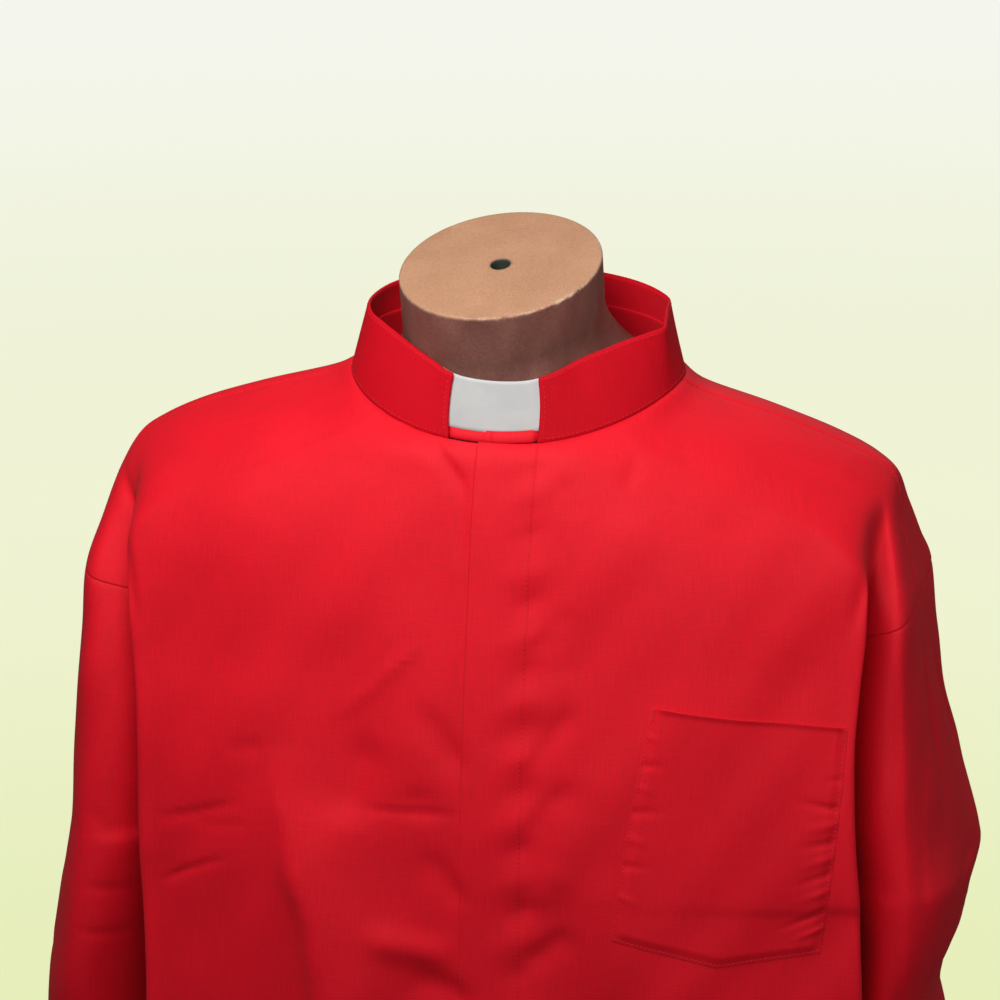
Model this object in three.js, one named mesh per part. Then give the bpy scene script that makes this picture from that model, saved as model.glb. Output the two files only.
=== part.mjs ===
// A long-sleeved clergy shirt with a white tab collar, worn by a limbless dress form.
// Millimetres, +Z up, the form's flat foot on z = 0 and centred on the origin.
// The shirt's front faces -Y. The wearer's left is +X, the wearer's right is -X.
import * as THREE from "three";

// ---- Driving sizes -----------------------------------------------------------------------------

const WALL = 1.2; // cloth with its turnings
const SEAM_GAP = 0.3; // between two pieces that are sewn together
const NECKLINE_GAP = 0.5; // from the collar to the neckline, at the facets' corners
const SEATED_GAP = 0.45; // between the shirt and the form's shoulders

const CAP = { x: -7, y: -19, z: 900, radius: 58.5, forwardLean: 19, sideLean: 4, chamfer: 2 };
const NECK_LEAN = 17; // the neck leans forward less than its cap, and not sideways
const CAP_HOLE = { radius: 5.5, depth: 18 };
const NECK = { straight: 40, bend: 22, spread: 2 }; // the length below the cap, then the flare

const COLLAR = {
  baseHalfWidth: 97,
  baseFrontY: -78,
  baseBackY: 72,
  rimHalfWidth: 88,
  rimFrontY: -71,
  rimBackY: 66,
  frontHeight: 34,
  backHeight: 38,
  wall: 1.6,
  endLeft: 26.5, // x of the two ends, either side of the tab
  endRight: -25.5,
};
const NECKLINE = { frontZ: 812, sideZ: 836, backZ: 842, frontPower: 1.6 };
const NECKBAND = { wall: 1.0, frontHeight: 21, backHeight: 19 };
const TAB = { wall: 0.8, hiddenEnd: 12, bottom: 6 }; // bottom: the strip of neckband shown under it
const BAND_STEPS = { collar: 44, neckband: 48, tab: 10 }; // facets round each band

const FLY = { edgeX: -6.5, closingX: 10.5, stitchX: 27.5 };

const POCKET = {
  topInner: { x: 100, z: 673 },
  topOuter: { x: 207, z: 662 },
  bottomInner: { x: 80, z: 538 },
  bottomPoint: { x: 140, z: 524 },
  bottomOuter: { x: 196, z: 533 },
};

const CUFF = { height: 64, steps: 2 };
const BUTTON = { radius: 5.5, thickness: 2.6, sides: 20 };

const COLOURS = {
  body: "#c4182a",
  sleeves: "#b81626",
  buttons: "#a01420",
  tab: "#c9c8c5",
  form: "#8a5a4a",
};

// ---- Small helpers -----------------------------------------------------------------------------

const { lerp, degToRad, smoothstep } = THREE.MathUtils;

const point = (x, y, z) => new THREE.Vector3(x, y, z);

// Rows of numbers with named columns.
function table(names, rows) {
  const keys = names.split(" ");
  return rows.map((row) => Object.fromEntries(keys.map((key, i) => [key, row[i]])));
}

// ---- The shirt's rows --------------------------------------------------------------------------
// Rows run round the garment, from the neckline over the shoulders and down to the hem.
// Row 0, the neckline, follows the collar. The rows to SEAM_ROW take in the dropped shoulder,
// at SEAM_ROW the sleeves are sewn on, and at ARMPIT_ROW sleeve and body part.

const SEAM_ROW = 8;
const ARMPIT_ROW = 12;

// Heights round the row from the centre front to the centre back, then the depths at both.
const BODY_ROWS = table("frontZ edgeZ sideZ backEdgeZ backZ frontY backY", [
  [803, 812, 829, 824, 830, -84, 78],
  [788, 798, 817, 806, 817, -91, 86],
  [773, 786, 805, 789, 804, -97, 93],
  [758, 775, 795, 774, 792, -101, 99],
  [745, 763, 785, 761, 781, -105, 103],
  [731, 744, 764, 748, 770, -108, 106],
  [713, 718, 739, 735, 759, -112, 108],
  [692, 680, 712, 721, 748, -115, 109],
  [658, 652, 677, 694, 712, -119, 111],
  [624, 622, 640, 652, 662, -122, 112],
  [592, 591, 600, 606, 612, -125, 113],
  [560, 560, 560, 560, 560, -127, 113],
  [555, 555, 555, 555, 555, -127, 113],
  [500, 500, 502, 500, 500, -130, 113],
  [430, 431, 434, 431, 430, -131, 112],
  [350, 352, 358, 352, 350, -131, 112],
  [260, 264, 274, 264, 260, -131, 113],
  [165, 172, 190, 170, 162, -132, 114],
  [46, 58, 98, 54, 40, -133, 115],
]);

// The long folds in plan: edge is the hanging fold of the front, fold the crease behind it,
// fore and outer are the sleeve's front and outermost lines. Rows past the armpit have no sleeve.
const LEFT_ROWS = table("edgeX edgeY foldX foldY foreX foreY outerX", [
  [84, -62, 97, -38, 105, -18, 108],
  [114, -74, 134, -46, 147, -20, 152],
  [142, -81, 167, -48, 181, -22, 186],
  [170, -81, 192, -44, 204, -20, 207],
  [194, -73, 210, -38, 217, -18, 219],
  [211, -70, 212, -43, 222, -30, 224],
  [214, -80, 209, -50, 225, -44, 230],
  [212, -91, 203, -53, 227, -59, 236],
  [211, -97, 198, -49, 228, -69, 241],
  [212, -101, 194, -36, 229, -77, 249],
  [214, -104, 190, -19, 231, -83, 259],
  [217, -106, 188, -2.2, 233, -86, 271],
  [217, -105, 185, 0],
  [220, -107, 184, 0],
  [222, -108, 185, 0],
  [222, -108, 188, 0],
  [224, -109, 192, 0],
  [226, -110, 196, 0],
  [228, -111, 200, 0],
]);
const RIGHT_ROWS = table("edgeX edgeY foldX foldY foreX foreY outerX", [
  [86, -62, 99, -38, 108, -18, 111],
  [116, -74, 137, -46, 151, -20, 156],
  [146, -81, 172, -48, 187, -22, 192],
  [174, -81, 198, -44, 209, -20, 213],
  [198, -73, 216, -38, 224, -18, 227],
  [213, -70, 219, -42, 234, -29, 239],
  [213, -81, 214, -50, 237, -43, 246],
  [208, -90, 205, -53, 238, -57, 252],
  [205, -96, 198, -49, 237, -67, 255],
  [204, -100, 192, -36, 236, -75, 259],
  [204, -102, 188, -19, 236, -81, 263],
  [203, -104, 186, -2.2, 237, -84, 268],
  [203, -104, 183, 0],
  [201, -105, 181, 0],
  [201, -106, 181, 0],
  [202, -107, 184, 0],
  [206, -107, 188, 0],
  [211, -108, 192, 0],
  [214, -109, 196, 0],
]);

// The sleeves below the armpit: an oval at each height, down to the cuff.
const LEFT_SLEEVE_ROWS = table("z innerX foreX outerX foreY aftY", [
  [555, 190.5, 236, 274, -84, 84],
  [519, 198, 232, 264, -81, 82],
  [478, 198, 227, 252, -78, 80],
  [430, 199, 229, 257, -75, 78],
  [360, 202, 232, 261, -72, 75],
  [280, 206, 235, 264, -69, 72],
  [212, 210, 237, 264, -64, 67],
  [190, 214, 238, 261, -59, 61],
]);
const RIGHT_SLEEVE_ROWS = table("z innerX foreX outerX foreY aftY", [
  [555, 188.5, 234, 269, -82, 83],
  [512, 200, 240, 276, -79, 81],
  [472, 208, 246, 282, -76, 79],
  [426, 216, 251, 286, -73, 76],
  [360, 222, 256, 290, -71, 74],
  [280, 227, 259, 291, -68, 71],
  [212, 232, 260, 288, -63, 66],
  [190, 236, 260, 284, -58, 60],
]);

// Soft vertical drapes: each starts at topZ, deepens for DRAPE_START and runs to the hem.
const DRAPE_START = 110;
const DRAPE_REACH = 212; // from the middle to where the drapes have faded out
const DRAPE_FADE = 30;
const DRAPE_CLEAR = 17; // either side of the closing, under the fly
const FRONT_DRAPES = table("topX topZ bottomX width lift", [
  [-120, 660, -146, 22, 7],
  [-92, 650, -88, 17, -8],
  [-34, 560, -48, 20, -6],
  [-10, 420, -14, 26, 4],
  [78, 560, 70, 26, -5],
  [150, 500, 128, 24, 6],
  [186, 470, 178, 18, -5],
]);
const BACK_DRAPES = table("topX topZ bottomX width lift", [
  [-150, 640, -128, 24, 7],
  [-104, 600, -84, 20, -6],
  [-46, 520, -34, 28, 5],
  [18, 560, 24, 22, -5],
  [84, 620, 70, 26, 6],
  [140, 580, 118, 20, -6],
  [180, 600, 168, 18, 5],
]);

// Columns that lie between the given ones, as shares of the way from one to the next.
const CHEST = { x: 0.56, y: 0.2, z: 0.4 }; // from the centre front to the edge
const TUCK = { x: 0.55, y: 0.45, z: 0.25 }; // from the edge to the fold
const BLADE = { x: 0.54, y: 0.15, z: 0.4 }; // from the centre back to the back edge
const FOLD_RISE = 0.5; // from the edge's height to the side's
const FORE_RISE = 0.8;
const BACK_EDGE_INSET = 4; // the back is this much narrower than the front
const OUTER_Y = 3; // the outermost line lies a little behind the middle
const AFT_SHIFT = 4;

// ---- Collar rings ------------------------------------------------------------------------------

// A point on the collar's outer face, moved in by inset. Angle 0 is the front, 90 the left side;
// rise 0 is the base and 1 the rim.
function collarPoint(degrees, rise, inset) {
  const angle = degToRad(degrees);
  const halfWidth = lerp(COLLAR.baseHalfWidth, COLLAR.rimHalfWidth, rise) - inset;
  const frontY = lerp(COLLAR.baseFrontY, COLLAR.rimFrontY, rise) + inset;
  const backY = lerp(COLLAR.baseBackY, COLLAR.rimBackY, rise) - inset;
  const y = lerp(backY, frontY, (1 + Math.cos(angle)) / 2);
  const height = lerp(COLLAR.backHeight, COLLAR.frontHeight, (1 + Math.cos(angle)) / 2);
  return point(halfWidth * Math.sin(angle), y, baseHeight(degrees) + rise * height);
}

// The neckline drops from the back of the neck to the front.
function baseHeight(degrees) {
  const forward = Math.cos(degToRad(degrees));
  const { frontZ, sideZ, backZ, frontPower } = NECKLINE;
  return forward > 0 ? lerp(sideZ, frontZ, forward ** frontPower) : lerp(sideZ, backZ, -forward);
}

const angleOnCollar = (x) => THREE.MathUtils.radToDeg(Math.asin(x / COLLAR.baseHalfWidth));

// ---- Control points of the rows ----------------------------------------------------------------

// Columns from the centre front round one side to the centre back, with the steps that follow each.
const COLUMNS = table("name steps neckAngle", [
  ["front", 1, angleOnCollar(FLY.closingX)],
  ["fly", 5, 0],
  ["chest", 5, 31],
  ["edge", 2, 47],
  ["tuck", 1, 57],
  ["fold", 2, 66],
  ["fore", 3, 78],
  ["outer", 3, 90],
  ["aft", 2, 102],
  ["backFold", 1, 113],
  ["backTuck", 2, 123],
  ["backEdge", 3, 134],
  ["blade", 3, 157],
  ["centreBack", 0, 180],
]);
const YOKE_SEAM_STEPS = 2; // the front yoke seam lies this many steps behind the fore column

function columnIndex(name) {
  let index = 0;
  for (const column of COLUMNS) {
    if (column.name === name) return index;
    index += column.steps;
  }
  throw new Error(name);
}
const FLY_COLUMN = columnIndex("fly");
const FOLD_COLUMN = columnIndex("fold");
const YOKE_COLUMN = columnIndex("fore") + YOKE_SEAM_STEPS;
const BACK_FOLD_COLUMN = columnIndex("backFold");
const LAST_COLUMN = columnIndex("centreBack");

const SIDES = {
  left: { sign: 1, rows: LEFT_ROWS, sleeve: LEFT_SLEEVE_ROWS, flyX: FLY.stitchX },
  right: { sign: -1, rows: RIGHT_ROWS, sleeve: RIGHT_SLEEVE_ROWS, flyX: FLY.edgeX },
};

// A column's place on the neckline: degrees round the collar from the front.
function neckAngleOf(side, { name, neckAngle }) {
  if (name === "front") return neckAngle;
  return name === "fly" ? angleOnCollar(side.flyX) : neckAngle * side.sign;
}

const onNeckline = (degrees) => collarPoint(degrees, 0, -NECKLINE_GAP);

function necklineControls(side) {
  const controls = COLUMNS.map((column) => [column.name, onNeckline(neckAngleOf(side, column))]);
  return Object.fromEntries(controls);
}

// The neckline itself follows the collar's curve between its columns too.
function necklinePoint(side, index, fraction) {
  const from = neckAngleOf(side, COLUMNS[index]);
  const to = fraction ? neckAngleOf(side, COLUMNS[index + 1]) : from;
  return onNeckline(lerp(from, to, fraction));
}

// One row's control points. The back repeats the front's plan, a little shallower.
function rowControls(side, index) {
  const body = BODY_ROWS[index - 1];
  const plan = side.rows[index - 1];
  const { frontZ, edgeZ, sideZ, backEdgeZ, backZ, frontY, backY } = body;
  const at = (x, y, z) => point(side.sign * x, y, z);
  const backEdgeY = (-plan.edgeY * backY) / -frontY;
  const { edgeX, edgeY, foldX, foldY, foreX, foreY, outerX } = plan;
  const tuckX = lerp(edgeX, foldX, TUCK.x);
  const foldZ = lerp(edgeZ, sideZ, FOLD_RISE);
  const backFoldZ = lerp(backEdgeZ, sideZ, FOLD_RISE);
  const chestY = lerp(frontY, edgeY, CHEST.y);
  const bladeY = lerp(backY, backEdgeY, BLADE.y);
  const controls = {
    front: point(FLY.closingX, frontY, frontZ),
    fly: point(side.flyX, frontY, frontZ),
    chest: at(CHEST.x * edgeX, chestY, lerp(frontZ, edgeZ, CHEST.z)),
    edge: at(edgeX, edgeY, edgeZ),
    tuck: at(tuckX, lerp(edgeY, foldY, TUCK.y), lerp(edgeZ, sideZ, TUCK.z)),
    fold: at(foldX, foldY, foldZ),
    backFold: at(foldX, -foldY, backFoldZ),
    backTuck: at(tuckX, lerp(backEdgeY, -foldY, TUCK.y), lerp(backEdgeZ, sideZ, TUCK.z)),
    backEdge: at(edgeX - BACK_EDGE_INSET, backEdgeY, backEdgeZ),
    blade: at(BLADE.x * edgeX, bladeY, lerp(backZ, backEdgeZ, BLADE.z)),
    centreBack: point(0, backY, backZ),
  };
  if (index <= ARMPIT_ROW) {
    controls.fore = at(foreX, foreY, lerp(edgeZ, sideZ, FORE_RISE));
    controls.outer = at(outerX, OUTER_Y, sideZ);
    controls.aft = at(foreX, AFT_SHIFT - foreY, lerp(backEdgeZ, sideZ, FORE_RISE));
  }
  return controls;
}

function sleeveControls(side, row) {
  const at = (x, y) => point(side.sign * x, y, row.z);
  return {
    fold: at(row.innerX, 0),
    fore: at(row.foreX, row.foreY),
    outer: at(row.outerX, OUTER_Y),
    aft: at(row.foreX, row.aftY),
  };
}

// Rows between two given ones: a smooth curve down each column.
function refineRows(rows, firstRefined, parts) {
  const names = Object.keys(rows[rows.length - 1]);
  const curves = names.map((name) => new THREE.CatmullRomCurve3(rows.map((row) => row[name])));
  const refined = [];
  for (let i = firstRefined; i < rows.length - 1; i++) {
    for (let part = 0; part < parts; part++) {
      const t = (i + part / parts) / (rows.length - 1);
      refined.push(Object.fromEntries(names.map((name, k) => [name, curves[k].getPoint(t)])));
    }
  }
  refined.push(rows[rows.length - 1]);
  return refined;
}

const ROW_PARTS = 2; // rows made from each given one, below the armpit

function allBodyControls(side) {
  const rows = [necklineControls(side)];
  for (let i = 1; i <= BODY_ROWS.length; i++) rows.push(rowControls(side, i));
  const upper = rows.slice(0, ARMPIT_ROW + 1);
  return upper.concat(refineRows(rows, ARMPIT_ROW + 1, ROW_PARTS));
}

function allSleeveControls(side) {
  return refineRows(side.sleeve.map((row) => sleeveControls(side, row)), 0, ROW_PARTS);
}

// ---- The net: every point of the cloth's outer face ---------------------------------------------

const vertex = (position) => ({ position, normal: point(0, 0, 0) });

// Points along a closed ring: each is a fraction of the way from one control point to the next.
function ringPoints(controls) {
  const curve = new THREE.CatmullRomCurve3(controls, true);
  return (index, fraction) => curve.getPoint((index + fraction) / controls.length);
}

function necklineRing() {
  const ring = { left: [], right: [] };
  for (const [name, side] of Object.entries(SIDES)) {
    for (const [i, column] of COLUMNS.entries()) {
      const steps = Math.max(column.steps, 1);
      for (let step = 0; step < steps; step++) {
        const fraction = step / steps;
        ring[name][columnIndex(column.name) + step] = vertex(necklinePoint(side, i, fraction));
      }
    }
  }
  ring.right[0] = ring.left[0];
  ring.right[LAST_COLUMN] = ring.left[LAST_COLUMN];
  return ring;
}

// How far the drapes lift the cloth at a height.
function drapeLift(drapes, { x, z }) {
  let lift = 0;
  for (const drape of drapes) {
    const depth = smoothstep(drape.topZ - z, 0, DRAPE_START);
    const middle = lerp(drape.topX, drape.bottomX, (drape.topZ - z) / drape.topZ);
    lift += drape.lift * depth * Math.exp(-(((x - middle) / drape.width) ** 2));
  }
  return lift;
}

// The drapes fade out towards the closing and the sides, where other pieces lie close.
function drape({ position }) {
  const { x, y } = position;
  const front = y < 0;
  const inside = smoothstep(DRAPE_REACH - Math.abs(x), 0, DRAPE_FADE);
  const fromClosing = Math.abs(x - FLY.closingX);
  const clearOfFly = front ? smoothstep(fromClosing, DRAPE_CLEAR, DRAPE_CLEAR + DRAPE_FADE) : 1;
  const lift = drapeLift(front ? FRONT_DRAPES : BACK_DRAPES, position) * inside * clearOfFly;
  position.y += front ? -lift : lift;
}

// One whole ring: the columns of the left side, then those of the right side, back to the front.
function bodyRing(left, right, hasSleeve) {
  const missing = hasSleeve ? [] : ["fore", "outer", "aft", "backFold"];
  const columns = COLUMNS.filter(({ name }) => !missing.includes(name));
  const names = columns.map(({ name }) => name);
  const inner = names.slice(1, -1);
  const controls = names.map((name) => left[name]);
  controls.push(...inner.reverse().map((name) => right[name]));
  const pointAt = ringPoints(controls);
  const ring = { left: [], right: [] };
  for (const [i, column] of columns.entries()) {
    const first = columnIndex(column.name);
    for (let step = 0; step < Math.max(column.steps, 1); step++) {
      if (!hasSleeve && column.name === "fold" && step > 0) break;
      const fraction = column.steps ? step / column.steps : 0;
      const mirrored = (controls.length - i - fraction) % controls.length;
      ring.left[first + step] = vertex(pointAt(i, fraction));
      ring.right[first + step] = vertex(pointAt(0, mirrored));
    }
  }
  ring.right[0] = ring.left[0];
  ring.right[LAST_COLUMN] = ring.left[LAST_COLUMN];
  const draped = new Set();
  for (const points of [ring.left, ring.right]) {
    points.slice(0, FOLD_COLUMN - 1).forEach((corner) => draped.add(corner));
    points.slice(BACK_FOLD_COLUMN + 2).forEach((corner) => draped.add(corner));
  }
  draped.forEach(drape);
  if (!hasSleeve) {
    ring.left[BACK_FOLD_COLUMN] = ring.left[FOLD_COLUMN];
    ring.right[BACK_FOLD_COLUMN] = ring.right[FOLD_COLUMN];
  }
  return ring;
}

// A sleeve's ring below the armpit, closed at the fold.
function sleeveRing(controls) {
  const names = ["fold", "fore", "outer", "aft"];
  const pointAt = ringPoints(names.map((name) => controls[name]));
  const ring = [];
  for (const [i, name] of names.entries()) {
    const { steps } = COLUMNS.find((column) => column.name === name);
    for (let step = 0; step < steps; step++) {
      ring[columnIndex(name) + step] = vertex(pointAt(i, step / steps));
    }
  }
  ring[BACK_FOLD_COLUMN] = ring[FOLD_COLUMN];
  return ring;
}

const controlsOf = Object.fromEntries(
  Object.entries(SIDES).map(([name, side]) => [name, allBodyControls(side)]),
);
const bodyRings = controlsOf.left.map((left, row) =>
  row === 0 ? necklineRing() : bodyRing(left, controlsOf.right[row], row <= ARMPIT_ROW),
);
const HEM_ROW = bodyRings.length - 1;

// A sleeve's rings: those of the body down to the armpit, then its own.
function sleeveRingsOf(name) {
  const upper = bodyRings.slice(0, ARMPIT_ROW + 1).map((ring) => ring[name]);
  return upper.concat(allSleeveControls(SIDES[name]).map(sleeveRing));
}
const sleeveRings = { left: sleeveRingsOf("left"), right: sleeveRingsOf("right") };
const CUFF_ROW = sleeveRings.left.length - 1;

// ---- Cells and shells --------------------------------------------------------------------------

const CREASE_ANGLE = degToRad(30); // between a piece's own normal and the one it shares
const MITRE_LIMIT = 0.35; // keeps a sharp corner from drawing back too far

// The cells of a block of rows and columns, each as four corners that run anticlockwise outside.
function cellsOf(rings, sideName, rows, columns) {
  const cells = [];
  for (let row = rows[0]; row < rows[1]; row++) {
    for (let column = columns[0]; column < columns[1]; column++) {
      const corners = [
        rings[row][column],
        rings[row + 1][column],
        rings[row + 1][column + 1],
        rings[row][column + 1],
      ];
      cells.push(sideName === "left" ? corners : corners.reverse());
    }
  }
  return cells;
}

const bodyCells = (sideName, rows, columns) =>
  cellsOf(bodyRings.map((ring) => ring[sideName]), sideName, rows, columns);

function triangles(cell) {
  const [a, b, c, d] = cell;
  const faces = [];
  if (a !== b && b !== c && a !== c) faces.push([a, b, c]);
  if (a !== c && c !== d && a !== d) faces.push([a, c, d]);
  return faces;
}

function faceNormal([a, b, c]) {
  const ab = b.position.clone().sub(a.position);
  const ac = c.position.clone().sub(a.position);
  return ab.cross(ac);
}

// The average normal at each corner of some faces.
function normalsOf(faces) {
  const normals = new Map();
  for (const face of faces) {
    const normal = faceNormal(face);
    for (const corner of face) {
      if (!normals.has(corner)) normals.set(corner, point(0, 0, 0));
      normals.get(corner).add(normal);
    }
  }
  for (const normal of normals.values()) normal.normalize();
  return normals;
}

function addNormals(cells) {
  for (const [corner, normal] of normalsOf(cells.flatMap(triangles))) corner.normal.copy(normal);
}

// The edges with a face on one side only, in the faces' own direction.
function boundaryOf(faces, idOf) {
  const edges = new Map();
  for (const face of faces) {
    for (let i = 0; i < 3; i++) {
      const [a, b] = [face[i], face[(i + 1) % 3]];
      const twin = `${idOf.get(b)} ${idOf.get(a)}`;
      if (edges.has(twin)) edges.delete(twin);
      else edges.set(`${idOf.get(a)} ${idOf.get(b)}`, [a, b]);
    }
  }
  return [...edges.values()];
}

// How each edge point moves into the piece, so that all its edges draw back by the same gap.
function drawnBack(boundary, normals, gap) {
  const inward = new Map();
  for (const [a, b] of boundary) {
    const along = b.position.clone().sub(a.position).normalize();
    for (const end of [a, b]) {
      const direction = normals.get(end).clone().cross(along).normalize();
      inward.set(end, [...(inward.get(end) ?? []), direction]);
    }
  }
  const shifts = new Map();
  for (const [end, [first, second]] of inward) {
    const mitre = Math.max(1 + first.dot(second), MITRE_LIMIT);
    shifts.set(end, first.clone().add(second).multiplyScalar(gap / mitre));
  }
  return shifts;
}

// A piece shares its neighbours' normals at a smooth seam, and keeps its own where they crease.
function pieceNormals(faces) {
  const normals = normalsOf(faces);
  for (const [corner, own] of normals) {
    if (own.angleTo(corner.normal) < CREASE_ANGLE) normals.set(corner, corner.normal);
  }
  return normals;
}

const shell = (cells, options) => wallOf(cells.flatMap(triangles), options);

// A closed wall of cloth: its outer face on the faces, moved out by lift, and its inner face behind.
function wallOf(faces, { lift = 0, wall = WALL, gap = SEAM_GAP / 2 } = {}) {
  const normals = pieceNormals(faces);
  const corners = [...normals.keys()];
  const idOf = new Map(corners.map((corner, i) => [corner, i]));
  const boundary = boundaryOf(faces, idOf);
  const shifts = drawnBack(boundary, normals, gap);
  const positions = [];
  for (const depth of [lift, lift - wall]) {
    for (const corner of corners) {
      const moved = corner.position.clone().addScaledVector(normals.get(corner), depth);
      if (shifts.has(corner)) moved.add(shifts.get(corner));
      positions.push(...moved.toArray());
    }
  }
  const indices = [];
  const inner = corners.length;
  for (const face of faces) {
    const [a, b, c] = face.map((corner) => idOf.get(corner));
    indices.push(a, b, c, inner + a, inner + c, inner + b);
  }
  for (const edge of boundary) {
    const [a, b] = edge.map((corner) => idOf.get(corner));
    indices.push(b, a, inner + a, b, inner + a, inner + b);
  }
  return indexedGeometry(positions, indices);
}

function indexedGeometry(positions, indices) {
  const geometry = new THREE.BufferGeometry();
  geometry.setAttribute("position", new THREE.Float32BufferAttribute(positions, 3));
  geometry.setIndex(indices);
  return geometry;
}

// ---- Panels ------------------------------------------------------------------------------------

function frontCells(sideName) {
  return [
    ...bodyCells(sideName, [0, SEAM_ROW], [0, YOKE_COLUMN]),
    ...bodyCells(sideName, [SEAM_ROW, HEM_ROW], [0, FOLD_COLUMN]),
  ];
}

const yokeCells = ["left", "right"].flatMap((name) =>
  bodyCells(name, [0, SEAM_ROW], [YOKE_COLUMN, LAST_COLUMN]),
);
const backCells = ["left", "right"].flatMap((name) =>
  bodyCells(name, [SEAM_ROW, HEM_ROW], [BACK_FOLD_COLUMN, LAST_COLUMN]),
);
const flyCells = ["left", "right"].flatMap((name) =>
  bodyCells(name, [0, HEM_ROW], [0, FLY_COLUMN]),
);

const sleeveCells = (name) =>
  cellsOf(sleeveRings[name], name, [SEAM_ROW, CUFF_ROW], [FOLD_COLUMN, BACK_FOLD_COLUMN]);

addNormals([
  ...frontCells("left"),
  ...frontCells("right"),
  ...yokeCells,
  ...backCells,
  ...sleeveCells("left"),
  ...sleeveCells("right"),
]);

// ---- Cuffs -------------------------------------------------------------------------------------

// A straight band under the sleeve's last ring.
function cuffCells(name) {
  const top = sleeveRings[name][CUFF_ROW];
  const rings = [];
  for (let step = 0; step <= CUFF.steps; step++) {
    const drop = SEAM_GAP + (CUFF.height * step) / CUFF.steps;
    const ring = [];
    for (let column = FOLD_COLUMN; column < BACK_FOLD_COLUMN; column++) {
      ring[column] = vertex(top[column].position.clone().add(point(0, 0, -drop)));
    }
    ring[BACK_FOLD_COLUMN] = ring[FOLD_COLUMN];
    rings.push(ring);
  }
  const cells = cellsOf(rings, name, [0, CUFF.steps], [FOLD_COLUMN, BACK_FOLD_COLUMN]);
  addNormals(cells);
  return cells;
}

// A button lies on the cuff's outer face, half way up and behind the outermost line.
function cuffButton(name) {
  const halfThickness = BUTTON.thickness / 2;
  const profile = [
    new THREE.Vector2(0, -halfThickness),
    new THREE.Vector2(BUTTON.radius, -halfThickness),
    new THREE.Vector2(BUTTON.radius, halfThickness),
    new THREE.Vector2(0, halfThickness),
  ];
  const geometry = new THREE.LatheGeometry(profile, BUTTON.sides);
  const ring = sleeveRings[name][CUFF_ROW];
  const [a, b] = [ring[columnIndex("outer")], ring[columnIndex("outer") + 1]];
  const along = b.position.clone().sub(a.position);
  const outward = along.clone().cross(point(0, 0, 1)).normalize();
  if (outward.x * SIDES[name].sign < 0) outward.negate();
  const centre = a.position.clone().addScaledVector(along, 0.5);
  centre.z -= CUFF.height / 2;
  centre.addScaledVector(outward, SEAM_GAP + halfThickness);
  const turn = new THREE.Quaternion().setFromUnitVectors(point(0, 1, 0), outward);
  return geometry.applyQuaternion(turn).translate(...centre.toArray());
}

// ---- Collar, neckband and tab ------------------------------------------------------------------

// A band that follows the collar from one angle to another, between two rises.
function bandCells({ from, to, steps, inset, bottom, top, heights = 1 }) {
  const rings = [];
  const whole = to - from === 360;
  for (let i = 0; i <= heights; i++) {
    const ring = [];
    for (let step = 0; step <= steps; step++) {
      const degrees = lerp(from, to, step / steps);
      const rise = lerp(top(degrees), bottom(degrees), i / heights);
      ring.push(vertex(collarPoint(degrees, rise, inset)));
    }
    if (whole) ring[steps] = ring[0];
    rings.push(ring);
  }
  const cells = cellsOf(rings, "left", [0, heights], [0, steps]);
  addNormals(cells);
  return cells;
}

const forwardness = (degrees) => (1 + Math.cos(degToRad(degrees))) / 2;
const collarHeight = (degrees) => lerp(COLLAR.backHeight, COLLAR.frontHeight, forwardness(degrees));
const tabInset = COLLAR.wall + SEAM_GAP;
const neckbandInset = tabInset + TAB.wall + SEAM_GAP;

function collarCells() {
  const ends = [angleOnCollar(COLLAR.endLeft), 360 + angleOnCollar(COLLAR.endRight)];
  return bandCells({
    from: ends[0],
    to: ends[1],
    steps: BAND_STEPS.collar,
    inset: 0,
    bottom: () => 0,
    top: () => 1,
    heights: 2,
  });
}

function neckbandCells() {
  const heightAt = (degrees) =>
    lerp(NECKBAND.backHeight, NECKBAND.frontHeight, forwardness(degrees));
  return bandCells({
    from: 0,
    to: 360,
    steps: BAND_STEPS.neckband,
    inset: neckbandInset,
    bottom: () => 0,
    top: (degrees) => heightAt(degrees) / collarHeight(degrees),
  });
}

function tabCells() {
  return bandCells({
    from: angleOnCollar(COLLAR.endRight - TAB.hiddenEnd),
    to: angleOnCollar(COLLAR.endLeft + TAB.hiddenEnd),
    steps: BAND_STEPS.tab,
    inset: tabInset,
    bottom: (degrees) => TAB.bottom / collarHeight(degrees),
    top: () => 1,
    heights: 2,
  });
}

// ---- Chest pocket ------------------------------------------------------------------------------

// The part of a flat face in front view that lies right of the line from start to end.
function clipped(corners, start, end) {
  const side = ({ position: p }) =>
    (end.x - start.x) * (p.z - start.z) - (end.z - start.z) * (p.x - start.x);
  const kept = [];
  for (const [i, corner] of corners.entries()) {
    const next = corners[(i + 1) % corners.length];
    const [here, there] = [side(corner), side(next)];
    if (here <= 0) kept.push(corner);
    if (here * there < 0) {
      const t = here / (here - there);
      const crossing = vertex(corner.position.clone().lerp(next.position, t));
      crossing.normal = corner.normal.clone().lerp(next.normal, t).normalize();
      kept.push(crossing);
    }
  }
  return kept;
}

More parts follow.
